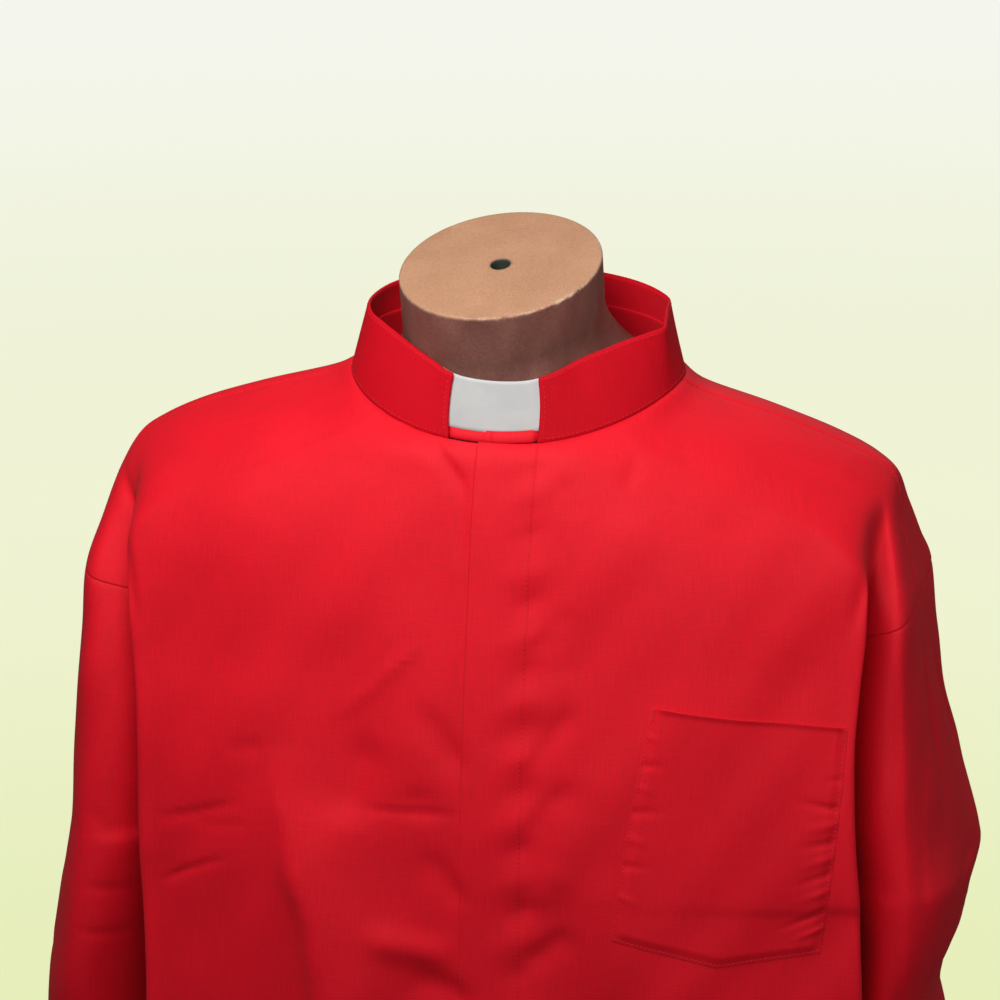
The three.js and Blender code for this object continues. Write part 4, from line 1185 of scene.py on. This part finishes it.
# Over which shares of the width or the depth each of these comes in.
POCKET_FADE = dict(side=0.06, bottom=0.05, mouth=0.1, lip=0.014)
RAY_FROM_Y = -400  # in front of the whole shirt
# Puckers that start at a side seam: side 0 is the inner one and 1 the outer one. At the seam they
# are PUCKER_START of the way up a soft step, whose whole run inwards is PUCKER_RISE.
PUCKER_START, PUCKER_RISE = 0.3, 0.04
POCKET_PUCKERS = table("side v run slant width lift", [
    [0, 0.12, 0.10, 0.05, 0.012, 0.5],
    [0, 0.24, 0.16, -0.10, 0.014, -0.8],
    [0, 0.33, 0.12, 0.10, 0.012, 0.6],
    [0, 0.44, 0.20, -0.16, 0.016, -0.9],
    [0, 0.55, 0.14, 0.06, 0.013, 0.7],
    [0, 0.67, 0.18, -0.12, 0.014, -0.8],
    [0, 0.80, 0.13, 0.10, 0.012, 0.6],
    [1, 0.22, 0.12, 0.08, 0.013, -0.6],
    [1, 0.35, 0.26, -0.16, 0.015, -1.3],
    [1, 0.41, 0.20, 0.16, 0.016, 1.0],
    [1, 0.49, 0.24, 0.12, 0.014, -1.2],
    [1, 0.56, 0.20, 0.20, 0.016, 1.0],
    [1, 0.63, 0.22, 0.24, 0.014, -1.1],
    [1, 0.71, 0.18, 0.22, 0.015, 0.9],
    [1, 0.80, 0.26, 0.30, 0.015, -1.3],
    [1, 0.88, 0.18, 0.28, 0.014, 0.9],
])


def pocket_outline(u, v):
    """A place on the pocket, u from its inner side to the outer, v from its top to the bottom."""
    corners = {key: np.array(POCKET[key], float)[:, None, None]
               for key in ("top_inner", "top_outer", "bottom_inner", "bottom_point", "bottom_outer")}
    split = POCKET["point_at"]
    inner_part = lerp(corners["bottom_inner"], corners["bottom_point"], np.clip(u / split, 0, 1))
    outer_part = lerp(corners["bottom_point"], corners["bottom_outer"],
                      np.clip((u - split) / (1 - split), 0, 1))
    bottom = np.where(u < split, inner_part, outer_part)
    place = lerp(lerp(corners["top_inner"], corners["top_outer"], u), bottom, v)
    place[0] += POCKET["side_bow"] * np.sin(math.pi * v) * (2 * u - 1)
    return place


def pucker_lift(u, v):
    lift = np.zeros(np.broadcast(u, v).shape)
    for pucker in POCKET_PUCKERS:
        inward = np.abs(u - pucker["side"])
        line = pucker["v"] + pucker["slant"] * inward
        reach = smooth(1 - inward / pucker["run"]) * smooth(PUCKER_START + inward / PUCKER_RISE)
        lift += pucker["lift"] * reach * bell(v, line, pucker["width"])
    return lift


def outer_tree(surface, cells):
    """A search tree of a surface's own cells."""
    quads = quads_of(surface.points, cells)
    return BVHTree.FromPolygons(surface.points.reshape(-1, 3).tolist(), quads.tolist())


def laid_on(tree, x, z):
    """Where straight lines from the front meet the cloth."""
    places = np.zeros(x.shape + (3,))
    for index in np.ndindex(x.shape):
        places[index] = tree.ray_cast(Vector((x[index], RAY_FROM_Y, z[index])), Vector((0, 1, 0)))[0]
    return places


def edges_first(count, closeness=1.6):
    """Shares from 0 to 1 that lie closer together near both ends."""
    t = np.linspace(-1, 1, count + 1)
    return (np.sign(t) * (1 - (1 - np.abs(t)) ** closeness) + 1) / 2


def make_pocket():
    u = edges_first(POCKET["columns"])[None]
    v = edges_first(POCKET["rows"])[:, None]
    x, z = pocket_outline(u, v)
    net = laid_on(outer_tree(*fronts["left"]), x, z)
    from_side = smooth(np.minimum(u, 1 - u) / POCKET_FADE["side"])
    inside = from_side * smooth((1 - v) / POCKET_FADE["bottom"])
    lift = POCKET_LIFT + POCKET_PUFF * inside + POCKET_MOUTH * inside * np.exp(-v / POCKET_FADE["mouth"])
    lift += pucker_lift(u, v)
    lift += POCKET_LIP * bell(v, 0, POCKET_FADE["lip"]) * from_side
    piece, surface = panel("chest_pocket", net, lift=lift, wall=POCKET_WALL)
    return surface


pocket_surface = make_pocket()

# ---- Collar, neckband and tab ------------------------------------------------------------------

COLLAR_WALL = 1.9
RIM_POWER = 1.3  # how late the rim's shape comes in from the base to the rim
# How far the rim stands out from its oval and above it, in degrees round from the front: its sides
# run nearly straight back to a soft corner over each shoulder.
RIM_SHAPE = table("degrees out up", [
    [0, 0, 0], [14, 0, 0], [24, -3, 1.5], [36, -8, 3], [55, -7, 1.5], [66, -1, 0.5],
    [74, 4.5, 0], [82, 1, 0], [96, -1.5, 0], [110, 1.5, 0], [125, 1, 0], [150, 0, 0],
    [180, 0, 0], [215, 0, 0], [245, 1, 0], [262, 0, 0], [278, -0.5, 0], [288, -2, 0.5],
    [298, -5, 2], [312, -7.5, 3], [330, -6, 2.5], [344, -1, 0.5], [360, 0, 0],
])
END_BOW = 1.5  # how far each end of the collar draws back half way up
END_LEAN = 2.4  # and how much further apart the ends are at the rim than on the oval
END_REACH = 4  # degrees round the collar, over which both fade


def shaped_collar(degrees, rise, inset):
    """The collar's ring with its straight sides and soft corners, which grow towards the rim."""
    points = collar_point(degrees, rise, inset)
    out, up = curve_through(RIM_SHAPE, "degrees out up", np.mod(degrees, 360), steps=600)
    share = (np.asarray(rise) ** RIM_POWER)[..., None]
    shift = unit(points * (1, 1, 0)) * out[..., None] + np.array([0, 0, 1]) * up[..., None]
    return points + shift * share


def band_net(start, end, steps, bottom, top, heights, inset, bow=0.0, lean=0.0):
    """A band that follows the collar between two angles and two rises."""
    degrees = np.linspace(start, end, steps + 1)[None]
    t = np.linspace(0, 1, heights + 1)[:, None]
    rise = lerp(top(degrees), bottom(degrees), t)
    degrees = np.broadcast_to(degrees, rise.shape).copy()
    back = (bow * 4 * t * (1 - t) + lean * (1 - t)) / COLLAR["base_half_width"] * math.degrees(1)
    degrees += back * (np.exp(-(degrees - start) / END_REACH) - np.exp(-(end - degrees) / END_REACH))
    return shaped_collar(degrees, rise, inset)


def level(value):
    return lambda degrees: np.full_like(degrees, value)


def make_collar():
    ends = (angle_on_collar(COLLAR["end_left"]), 360 + angle_on_collar(COLLAR["end_right"]))
    net = band_net(*ends, 260, level(0), level(1), 18, 0.0, END_BOW, END_LEAN)
    # The outer face in the darker copy of the red, as painted shade; the inner face in the plain red.
    piece, surface = panel("collar", net, RED_SHADED, wall=COLLAR_WALL, edge=0.5)
    piece.data.materials.append(RED_CLOTH)
    inner_faces(piece, net, 1)
    return surface


NECKBAND_INSET = 3.2
NECKBAND_WALL = 1.0
OVERLAP_X = -5.0  # where the neckband's left end laps over the right one
OVERLAP_LIFT, OVERLAP_STEP = 0.8, 0.8
OPENING_LIFT = 2.2  # under the tab, the neckband comes forward to the neckline
OPENING_TOP = 7  # from this height down, over OPENING_FADE
OPENING_FADE = 4
OPENING_INSET, OPENING_SIDE_FADE = 1, 2  # it starts this far inside the collar's ends


def make_neckband():
    def top(degrees):
        height = lerp(NECKBAND["back_height"], NECKBAND["front_height"], forwardness(degrees))
        return height / collar_height(degrees)

    net = band_net(0, 360, 360, level(0), top, 14, NECKBAND_INSET)
    inside = COLLAR["end_left"] - OPENING_INSET - np.abs(net[..., 0])
    in_opening = smooth(inside / OPENING_SIDE_FADE) * (net[..., 1] < 0)
    height = from_edge(net, *BOTTOM)
    lift = OPENING_LIFT * in_opening * smooth((OPENING_TOP - height) / OPENING_FADE)
    lift += OVERLAP_LIFT * in_opening * smooth((net[..., 0] - OVERLAP_X) / OVERLAP_STEP)
    piece = panel("neckband", net, wall=NECKBAND_WALL, lift=lift)[0]


TAB_INSET, TAB_WALL = 2.2, 0.8
TAB_TOP = 0.995  # of the collar's height


def make_tab():
    hidden = TAB["hidden_end"]
    ends = angle_on_collar(COLLAR["end_right"] - hidden), angle_on_collar(COLLAR["end_left"] + hidden)

    def bottom(degrees):
        return TAB["bottom"] / collar_height(degrees)

    net = band_net(*ends, 60, bottom, level(TAB_TOP), 16, TAB_INSET)
    piece = shell("collar_white_tab", net, wall=TAB_WALL, edge=0.45)[0]
    finish_piece(piece, TAB_WHITE, "collar_tab_white", "collar_tab")


collar_surface = make_collar()
make_neckband()
make_tab()

# ---- Cuffs -------------------------------------------------------------------------------------

CUFF_WALL = 1.8
CUFF_LIFT, CUFF_BELLY = 0.4, 0.5  # off the sleeve's end, and how far its middle stands out
CUFF_GAP = 0.3  # below the sleeve's end
CUFF_ROWS = 14
CUFF_LAP_COLUMNS = 12  # how much of the cuff lies doubled, under the buttoned end
CUFF_LAP_DEPTH = 2.3
CUFF_LAP_FROM, CUFF_LAP_OVER = 10, 9  # columns before the ring closes, over which it goes under
CUFF_CLOSING = FIRST["outer"] - FOLD_COLUMN - 4  # the sleeve's column where the lap starts


def make_cuff(name):
    """A straight band below the sleeve, whose buttoned end laps over the other."""
    end = sleeve_surfaces[name].points[-1]
    end = end[::-1] if name == "right" else end
    around = np.roll(end[:-1], -CUFF_CLOSING, axis=0)
    ring = np.concatenate([around, around[:CUFF_LAP_COLUMNS]])
    t = np.linspace(0, 1, CUFF_ROWS + 1)[:, None, None]
    net = ring[None] - np.array([0, 0, 1.0]) * (CUFF_GAP + CUFF_HEIGHT * t)
    past = np.arange(len(ring)) - len(around) + CUFF_LAP_FROM
    under = smooth(past / CUFF_LAP_OVER)[None]
    lift = -CUFF_LAP_DEPTH * under + CUFF_BELLY * np.sin(math.pi * t[..., 0]) + CUFF_LIFT
    if name == "right":
        net, lift = net[:, ::-1], lift[:, ::-1]
    piece, surface = panel(f"cuff_{name}", net, wall=CUFF_WALL, lift=lift, edge=0.5)
    return surface


BUTTON = dict(radius=5.5, thickness=2.6, rings=26, around=60)
BUTTON_RIM = dict(at=0.8, width=0.16, height=0.35, round_from=0.86, drop=0.9)  # shares of the radius
BUTTON_DISH = dict(width=0.5, depth=0.12)
BUTTON_HOLE = dict(radius=0.85, away=1.5, depth=1.3, wall=0.4, turns=(45, 135, 225, 315))
BUTTON_BACK = dict(bevel_height=0.5, bevel=0.6)
BUTTON_TURN = 0.25  # how much it looks to the back, for each step outwards


def button_height(radius, angle):
    """The button's face: a raised round rim, a dished middle and four holes."""
    share = radius / BUTTON["radius"]
    height = BUTTON_RIM["height"] * bell(share, BUTTON_RIM["at"], BUTTON_RIM["width"])
    height = height - BUTTON_DISH["depth"] * bell(share, 0, BUTTON_DISH["width"])
    rounding = smooth((share - BUTTON_RIM["round_from"]) / (1 - BUTTON_RIM["round_from"]))
    height -= BUTTON_RIM["drop"] * rounding**2
    for turn in BUTTON_HOLE["turns"]:
        x, y = (BUTTON_HOLE["away"] * part(math.radians(turn)) for part in (math.cos, math.sin))
        away = np.hypot(radius * np.cos(angle) - x, radius * np.sin(angle) - y)
        inside = smooth((BUTTON_HOLE["radius"] - away) / BUTTON_HOLE["wall"] + 0.5)
        height = height - BUTTON_HOLE["depth"] * inside
    return height


def make_button(name):
    low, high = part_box(f"cuff_button_{name}")
    centre = low.lerp(high, 0.5) / MM
    outward = Vector((SIDES[name]["sign"], BUTTON_TURN, 0)).normalized()
    upward = Vector((0, 0, 1))
    axes = [np.array(axis) for axis in (upward.cross(outward), upward, outward)]
    around, half = BUTTON["around"], BUTTON["thickness"] / 2
    radii = np.linspace(0, 1, BUTTON["rings"] + 1)[1:, None] * BUTTON["radius"]
    angles = np.linspace(0, 2 * math.pi, around, endpoint=False)
    rings = list(zip(radii, button_height(radii, angles[None]) + half))
    rings.append((BUTTON["radius"], BUTTON_BACK["bevel_height"] - half))
    rings.append((BUTTON["radius"] - BUTTON_BACK["bevel"], -half))
    points = np.array([
        np.stack(np.broadcast_arrays(radius * np.cos(angles), radius * np.sin(angles), height), axis=-1)
        for radius, height in rings])
    middles = np.array([[0, 0, button_height(np.zeros(1), np.zeros(1))[0] + half], [0, 0, -half]])
    points = np.concatenate([points.reshape(-1, 3), middles])
    faces = closed_rings(len(rings), around)
    turned = sum(points[:, k:k + 1] * axis for k, axis in enumerate(axes)) + np.array(centre)
    piece = make_mesh(f"shirt_cuff_button_{name}", turned, faces)
    finish_piece(piece, BUTTON_RED, "button_red", f"cuff_button_{name}")


cuff_surfaces = {name: make_cuff(name) for name in SIDES}
for name in SIDES:
    make_button(name)

# ---- Dress form --------------------------------------------------------------------------------

FORM_STAND_OFF = 1.65  # the CAD cloth's wall of 1.2 and the 0.45 that it lies off the form
CHEST_EASE, EASE_START, EASE_END = 4, 25, 85  # more room in front and behind, away from the middle
NECK_EASE = 1.6
TIP_ROW = 5  # the shoulder's tip
NECK = dict(straight=34, bend=26, spread=2, rings=7)  # below the cap, then the flare
FORM_STEP = 4  # every fourth column of the net
SHOULDER_RINGS = 16
TORSO_ROWS = table("front_z side_z half_width front_y back_y", [
    [730, 764, 211, -99, 99],
    [712, 738, 199, -103, 100],
    [688, 706, 188, -106, 100],
    [645, 655, 179, -109, 99],
    [590, 594, 172, -109, 96],
    [520, 520, 164, -105, 92],
    [440, 440, 157, -99, 90],
    [360, 360, 158, -99, 93],
    [280, 280, 167, -102, 99],
    [190, 190, 176, -105, 104],
    [90, 90, 174, -104, 103],
    [12, 12, 168, -101, 99],
    [0, 0, 163, -97, 95],
])
# The cap's profile from the hole's bottom outwards: radius, drop, and the marks for the tan top, the worn rim
# and the painted shade in the hole.
CAP_PROFILE = table("radius drop top rim hole", [
    [5.2, 17.8, 0, 0, 1],
    [5.4, 4.0, 0, 0, 1],
    [5.5, 1.2, 0, 0, 1],
    [5.7, 0.4, 1, 0, 0.9],
    [6.3, 0.0, 1, 0, 0.3],
    [7.6, 0.0, 1, 0, 0],
    [20, 0.0, 1, 0, 0],
    [34, 0.0, 1, 0, 0],
    [46, 0.0, 1, 0, 0],
    [53, 0.0, 1, 0, 0],
    [56.2, 0.0, 1, 0, 0],
    [57.2, 0.1, 1, 0.3, 0],
    [57.9, 0.4, 0.9, 1, 0],
    [58.3, 0.8, 0.5, 1, 0],
    [58.5, 1.5, 0.1, 0.5, 0],
    [58.5, 2.4, 0, 0.1, 0],
    [58.5, 5.0, 0, 0, 0],
    [58.5, 12, 0, 0, 0],
    [58.5, 20, 0, 0, 0],
    [58.5, 30, 0, 0, 0],
    [58.5, 34, 0, 0, 0],
])


def turned_about_x(vector, degrees):
    c, s = math.cos(math.radians(degrees)), math.sin(math.radians(degrees))
    x, y, z = vector
    return np.array([x, y * c - z * s, y * s + z * c])


def cap_ring(angles, radius, drop):
    lean = math.radians(CAP["side_lean"])
    side = turned_about_x((math.cos(lean), 0, math.sin(lean)), CAP["forward_lean"])
    front = turned_about_x((0, -1, 0), CAP["forward_lean"])
    up = turned_about_x((0, 0, 1), NECK_LEAN)
    around = side * np.sin(angles)[:, None] + front * np.cos(angles)[:, None]
    return np.array(CAP["centre"]) + radius * around - drop * up


def shoulder_rings():
    """The form's shoulders lie under the net, down to the shoulder's tip."""
    whole = np.concatenate([body["left"], body["right"][:, -2:0:-1]], axis=1)
    count = int(np.where(LINES == TIP_ROW)[0][0]) + 1
    closed = np.concatenate([whole, whole[:, :1]], axis=1)
    normals = normals_of(closed, all_cells(closed))[:, :-1]
    rows = np.linspace(0, count - 1, SHOULDER_RINGS).round().astype(int)
    rings = whole[rows][:, ::FORM_STEP]
    ease = CHEST_EASE * smooth((np.abs(rings[..., 1]) - EASE_START) / (EASE_END - EASE_START))
    ease[0] += NECK_EASE
    return rings - normals[rows][:, ::FORM_STEP] * (FORM_STAND_OFF + ease)[..., None]


def torso_ring(row, angles):
    forward = np.cos(angles)
    y = np.where(forward > 0, row["front_y"] * forward, -row["back_y"] * forward)
    z = lerp(row["side_z"], row["front_z"], np.abs(forward))
    return np.stack([row["half_width"] * np.sin(angles), y, z], axis=-1)


def make_form():
    shoulders = shoulder_rings()
    tip = shoulders[-1]
    angles = np.arctan2(tip[:, 0] / np.abs(tip[:, 0]).max(), -tip[:, 1] / -tip[:, 1].min())
    foot = cap_ring(angles, CAP["radius"], NECK["straight"])
    corner = cap_ring(angles, CAP["radius"] + NECK["spread"], NECK["straight"] + NECK["bend"])
    rings, marks = [], []
    for row in CAP_PROFILE:
        rings.append(cap_ring(angles, row["radius"], row["drop"]))
        marks.append([row[key] for key in CAP_MARKS])
    for t in np.linspace(0, 1, NECK["rings"] + 2)[1:-1]:
        rings.append((1 - t) ** 2 * foot + 2 * t * (1 - t) * corner + t * t * shoulders[0])
    rings += list(shoulders) + [torso_ring(row, angles) for row in TORSO_ROWS]
    marks += [[0, 0, 0]] * (len(rings) - len(marks))
    middles = np.array([rings[0].mean(axis=0), rings[-1].mean(axis=0)])
    points = np.concatenate(rings + [middles])
    piece = make_mesh("dress_form_body", points, closed_rings(len(rings), len(angles)))
    marks = np.concatenate([np.repeat(marks, len(angles), axis=0), [marks[0], marks[-1]]])
    for key, values in zip(CAP_MARKS, marks.T):
        attribute = piece.data.attributes.new(key, "FLOAT", "POINT")
        attribute.data.foreach_set("value", values.astype(np.float32))
    finish_piece(piece, FORM_PAINT, "form_skin", "dress_form")


make_form()

# ---- Stitches ----------------------------------------------------------------------------------

THREAD_SIDES = 5
# A stitch from end to end: the share of its length, its thickness, and how deep it lies.
STITCH_PROFILE = table("share thickness depth", [
    [0.0, 0.25, 0.20], [0.15, 0.85, 0.02], [0.5, 1.0, -0.04], [0.85, 0.85, 0.02], [1.0, 0.25, 0.20],
])


def stitches_along(path, outward, pitch=2.8, length=2.1, radius=0.21):
    """One small round stitch after another along a line on the cloth: points and triangles."""
    total = np.concatenate([[0], np.linalg.norm(np.diff(path, axis=0), axis=-1).cumsum()])
    count = int(total[-1] // pitch)
    middles = (np.arange(count) + 0.5) * total[-1] / count

    def at(values, distance):
        return np.stack([np.interp(distance, total, values[:, k]) for k in range(3)], axis=-1)

    start, end = at(path, middles - length / 2), at(path, middles + length / 2)
    up = unit(at(outward, middles))
    side = unit(np.cross(end - start, up))
    rings = []
    for station in STITCH_PROFILE:
        centre = lerp(start, end, station["share"]) - up * station["depth"]
        for k in range(THREAD_SIDES):
            turn = 2 * math.pi * k / THREAD_SIDES
            spoke = side * math.cos(turn) + up * math.sin(turn)
            rings.append(centre + spoke * radius * station["thickness"])
    points = np.stack(rings, axis=1)
    each = points.shape[1]
    one = ring_faces(len(STITCH_PROFILE), THREAD_SIDES)[:, ::-1]
    last = (len(STITCH_PROFILE) - 1) * THREAD_SIDES
    ends = [(0, k, k + 1) for k in range(1, THREAD_SIDES - 1)]
    ends += [(last, last + k + 1, last + k) for k in range(1, THREAD_SIDES - 1)]
    one = np.concatenate([one, np.array(ends)])
    faces = (one[None] + each * np.arange(count)[:, None, None]).reshape(-1, 3)
    return points.reshape(-1, 3), faces


def make_stitches(name, lines, **sizes):
    points, faces, count = [], [], 0
    for path, outward in lines:
        place, triangles = stitches_along(path, outward, **sizes)
        points.append(place)
        faces.append(triangles + count)
        count += len(place)
    piece = make_mesh(name, np.concatenate(points), np.concatenate(faces))
    finish_piece(piece, THREAD, "shirt_red")


def beside(surface, edges, distance, first=2, last=-2):
    """Lines at a distance from some edges of a piece, cut a few points short of its corners."""
    lines = [surface.beside(edge, distance) for edge in edges]
    return [(path[first:last], outward[first:last]) for path, outward in lines]


# How far in from its edge each row of stitches lies.
INSET = dict(fly=1.3, pocket=1.3, yoke=1.6, collar=1.5, collar_end=1.8, armhole=2.4, cuff=2.0, hem=7)
TACK = dict(start=0.6, end=9, rows=(0.9, 2.1))  # down each side from the pocket's open edge


def pocket_tacks():
    """The close stitches that hold the pocket's top corners: two short rows at each side."""
    rows = []
    for edge in (START, END):
        for distance in TACK["rows"]:
            path, outward = pocket_surface.beside(edge, distance)
            depth = np.concatenate([[0], np.linalg.norm(np.diff(path, axis=0), axis=-1).cumsum()])
            near = (depth > TACK["start"]) & (depth < TACK["end"])
            rows.append((path[near], outward[near]))
    return rows


CUFF_STITCHES_END = -2 - CUFF_LAP_COLUMNS  # the lower layer of the lap has none
HEM_ROWS = 30  # the net's last rows, which a column has to have for the hem's line


def hem_line(surface):
    """The line above the hem, only where the front panel reaches down to it."""
    path, outward = surface.beside(BOTTOM, INSET["hem"])
    steps = np.linalg.norm(np.diff(surface.points, axis=0), axis=-1)
    whole = (steps[-HEM_ROWS:] > 1e-6).all(axis=0)
    return path[whole][2:-2], outward[whole][2:-2]


def add_stitches():
    make_stitches("stitches_fly", beside(fly_surface, [END], INSET["fly"], first=3, last=None))
    pocket_lines = beside(pocket_surface, [START, END], INSET["pocket"], first=1)
    pocket_lines += beside(pocket_surface, [BOTTOM], INSET["pocket"])
    make_stitches("stitches_pocket", pocket_lines, pitch=2.6, length=2.0)
    make_stitches("stitches_pocket_corners", pocket_tacks(), pitch=0.62, length=1.6, radius=0.26)
    make_stitches("stitches_yoke", beside(yoke_surface, [START, END, BOTTOM], INSET["yoke"]))
    collar_lines = beside(collar_surface, [BOTTOM, TOP], INSET["collar"])
    collar_lines += beside(collar_surface, [START, END], INSET["collar_end"])
    make_stitches("stitches_collar", collar_lines)
    for name in SIDES:
        make_stitches(f"stitches_armhole_{name}", beside(sleeve_surfaces[name], [TOP], INSET["armhole"]))
        cuff_lines = beside(cuff_surfaces[name], [TOP, BOTTOM], INSET["cuff"], last=CUFF_STITCHES_END)
        make_stitches(f"stitches_cuff_{name}", cuff_lines)
    hem_lines = [hem_line(fronts[name][0]) for name in SIDES]
    make_stitches("stitches_hem", hem_lines + beside(back_surface, [BOTTOM], INSET["hem"]))


add_stitches()

# ---- Camera, light and floor -------------------------------------------------------------------

VIEW = dict(azimuth=12, elevation=16, distance=2.5, lens=154.8, sensor=36)
VIEW_AIM = Vector((-0.0108, -0.0023, 0.7555))
LIGHT_AIM = Vector((0, -0.08, 0.84))
WARM, PLAIN = (1.0, 0.985, 0.965), (1.0, 1.0, 1.0)
LIGHTS = table("name azimuth elevation distance size power colour", [
    ["key", -32, 50, 0.8, 0.4, 2.7, WARM],
    ["fill", 6, 23, 1.5, 1.1, 10.9, (1.0, 0.995, 0.985)],
    ["top", -13, 62, 0.75, 0.35, 4.0, WARM],
    ["back", 168, 34, 2.6, 1.8, 9, PLAIN],
    ["side_left", -82, 18, 2.4, 1.4, 3.0, PLAIN],
    ["side_right", 88, 18, 2.4, 1.4, 9.0, PLAIN],
])
FLOOR_RADIUS = 40.0


def direction(azimuth, elevation):
    """Towards the camera or a lamp at that azimuth, 0 in front, and elevation, in degrees."""
    a, e = math.radians(azimuth), math.radians(elevation)
    return Vector((math.sin(a) * math.cos(e), -math.cos(a) * math.cos(e), math.sin(e)))


def place_towards(item, aim, azimuth, elevation, distance):
    """Set a camera or a lamp off in a direction from its aim, and turn it to face that aim."""
    towards = direction(azimuth, elevation)
    item.location = aim + towards * distance
    item.rotation_euler = (-towards).to_track_quat("-Z", "Y").to_euler()
    bpy.context.scene.collection.objects.link(item)


def add_camera():
    camera = bpy.data.objects.new("camera", bpy.data.cameras.new("camera"))
    place_towards(camera, VIEW_AIM, VIEW["azimuth"], VIEW["elevation"], VIEW["distance"])
    camera.data.lens = VIEW["lens"]
    camera.data.sensor_width = VIEW["sensor"]
    bpy.context.scene.camera = camera


def add_light(name, azimuth, elevation, distance, size, power, colour):
    light = bpy.data.objects.new(name, bpy.data.lights.new(name, "AREA"))
    place_towards(light, LIGHT_AIM, azimuth, elevation, distance)
    light.data.shape = "DISK"
    light.data.size = size
    light.data.energy = power
    light.data.color = colour


def add_floor():
    """A pale green floor that fades to nearly white far off, and that the lamps don't mark."""
    nodes = Nodes("pale_floor")
    reach = nodes.add("ShaderNodeVectorMath", {"operation": "LENGTH"}, _0=nodes.place()).outputs["Value"]
    colour = nodes.blend(reach, 0.9, 2.7, (0.72, 0.78, 0.42, 1), (0.83, 0.855, 0.615, 1))
    colour = nodes.blend(reach, 2.2, 6.5, colour, (0.89, 0.90, 0.835, 1))
    nodes.shade(Base_Color=(0.2, 0.2, 0.18, 1), Roughness=0.9, Emission_Color=colour, Emission_Strength=1.0)
    bpy.ops.mesh.primitive_circle_add(vertices=96, radius=FLOOR_RADIUS, fill_type="NGON")
    floor = bpy.context.object
    floor.name = "floor"
    floor.visible_diffuse = False
    floor.visible_glossy = False
    floor.data.materials.append(nodes.material)


def add_world():
    world = bpy.data.worlds.new("studio")
    world.use_nodes = True
    background = world.node_tree.nodes["Background"]
    background.inputs["Color"].default_value = (1.0, 0.99, 0.96, 1)
    background.inputs["Strength"].default_value = 0.07
    bpy.context.scene.world = world


add_camera()
for light in LIGHTS:
    add_light(**light)
add_floor()
add_world()
bpy.context.scene.view_settings.view_transform = "Standard"
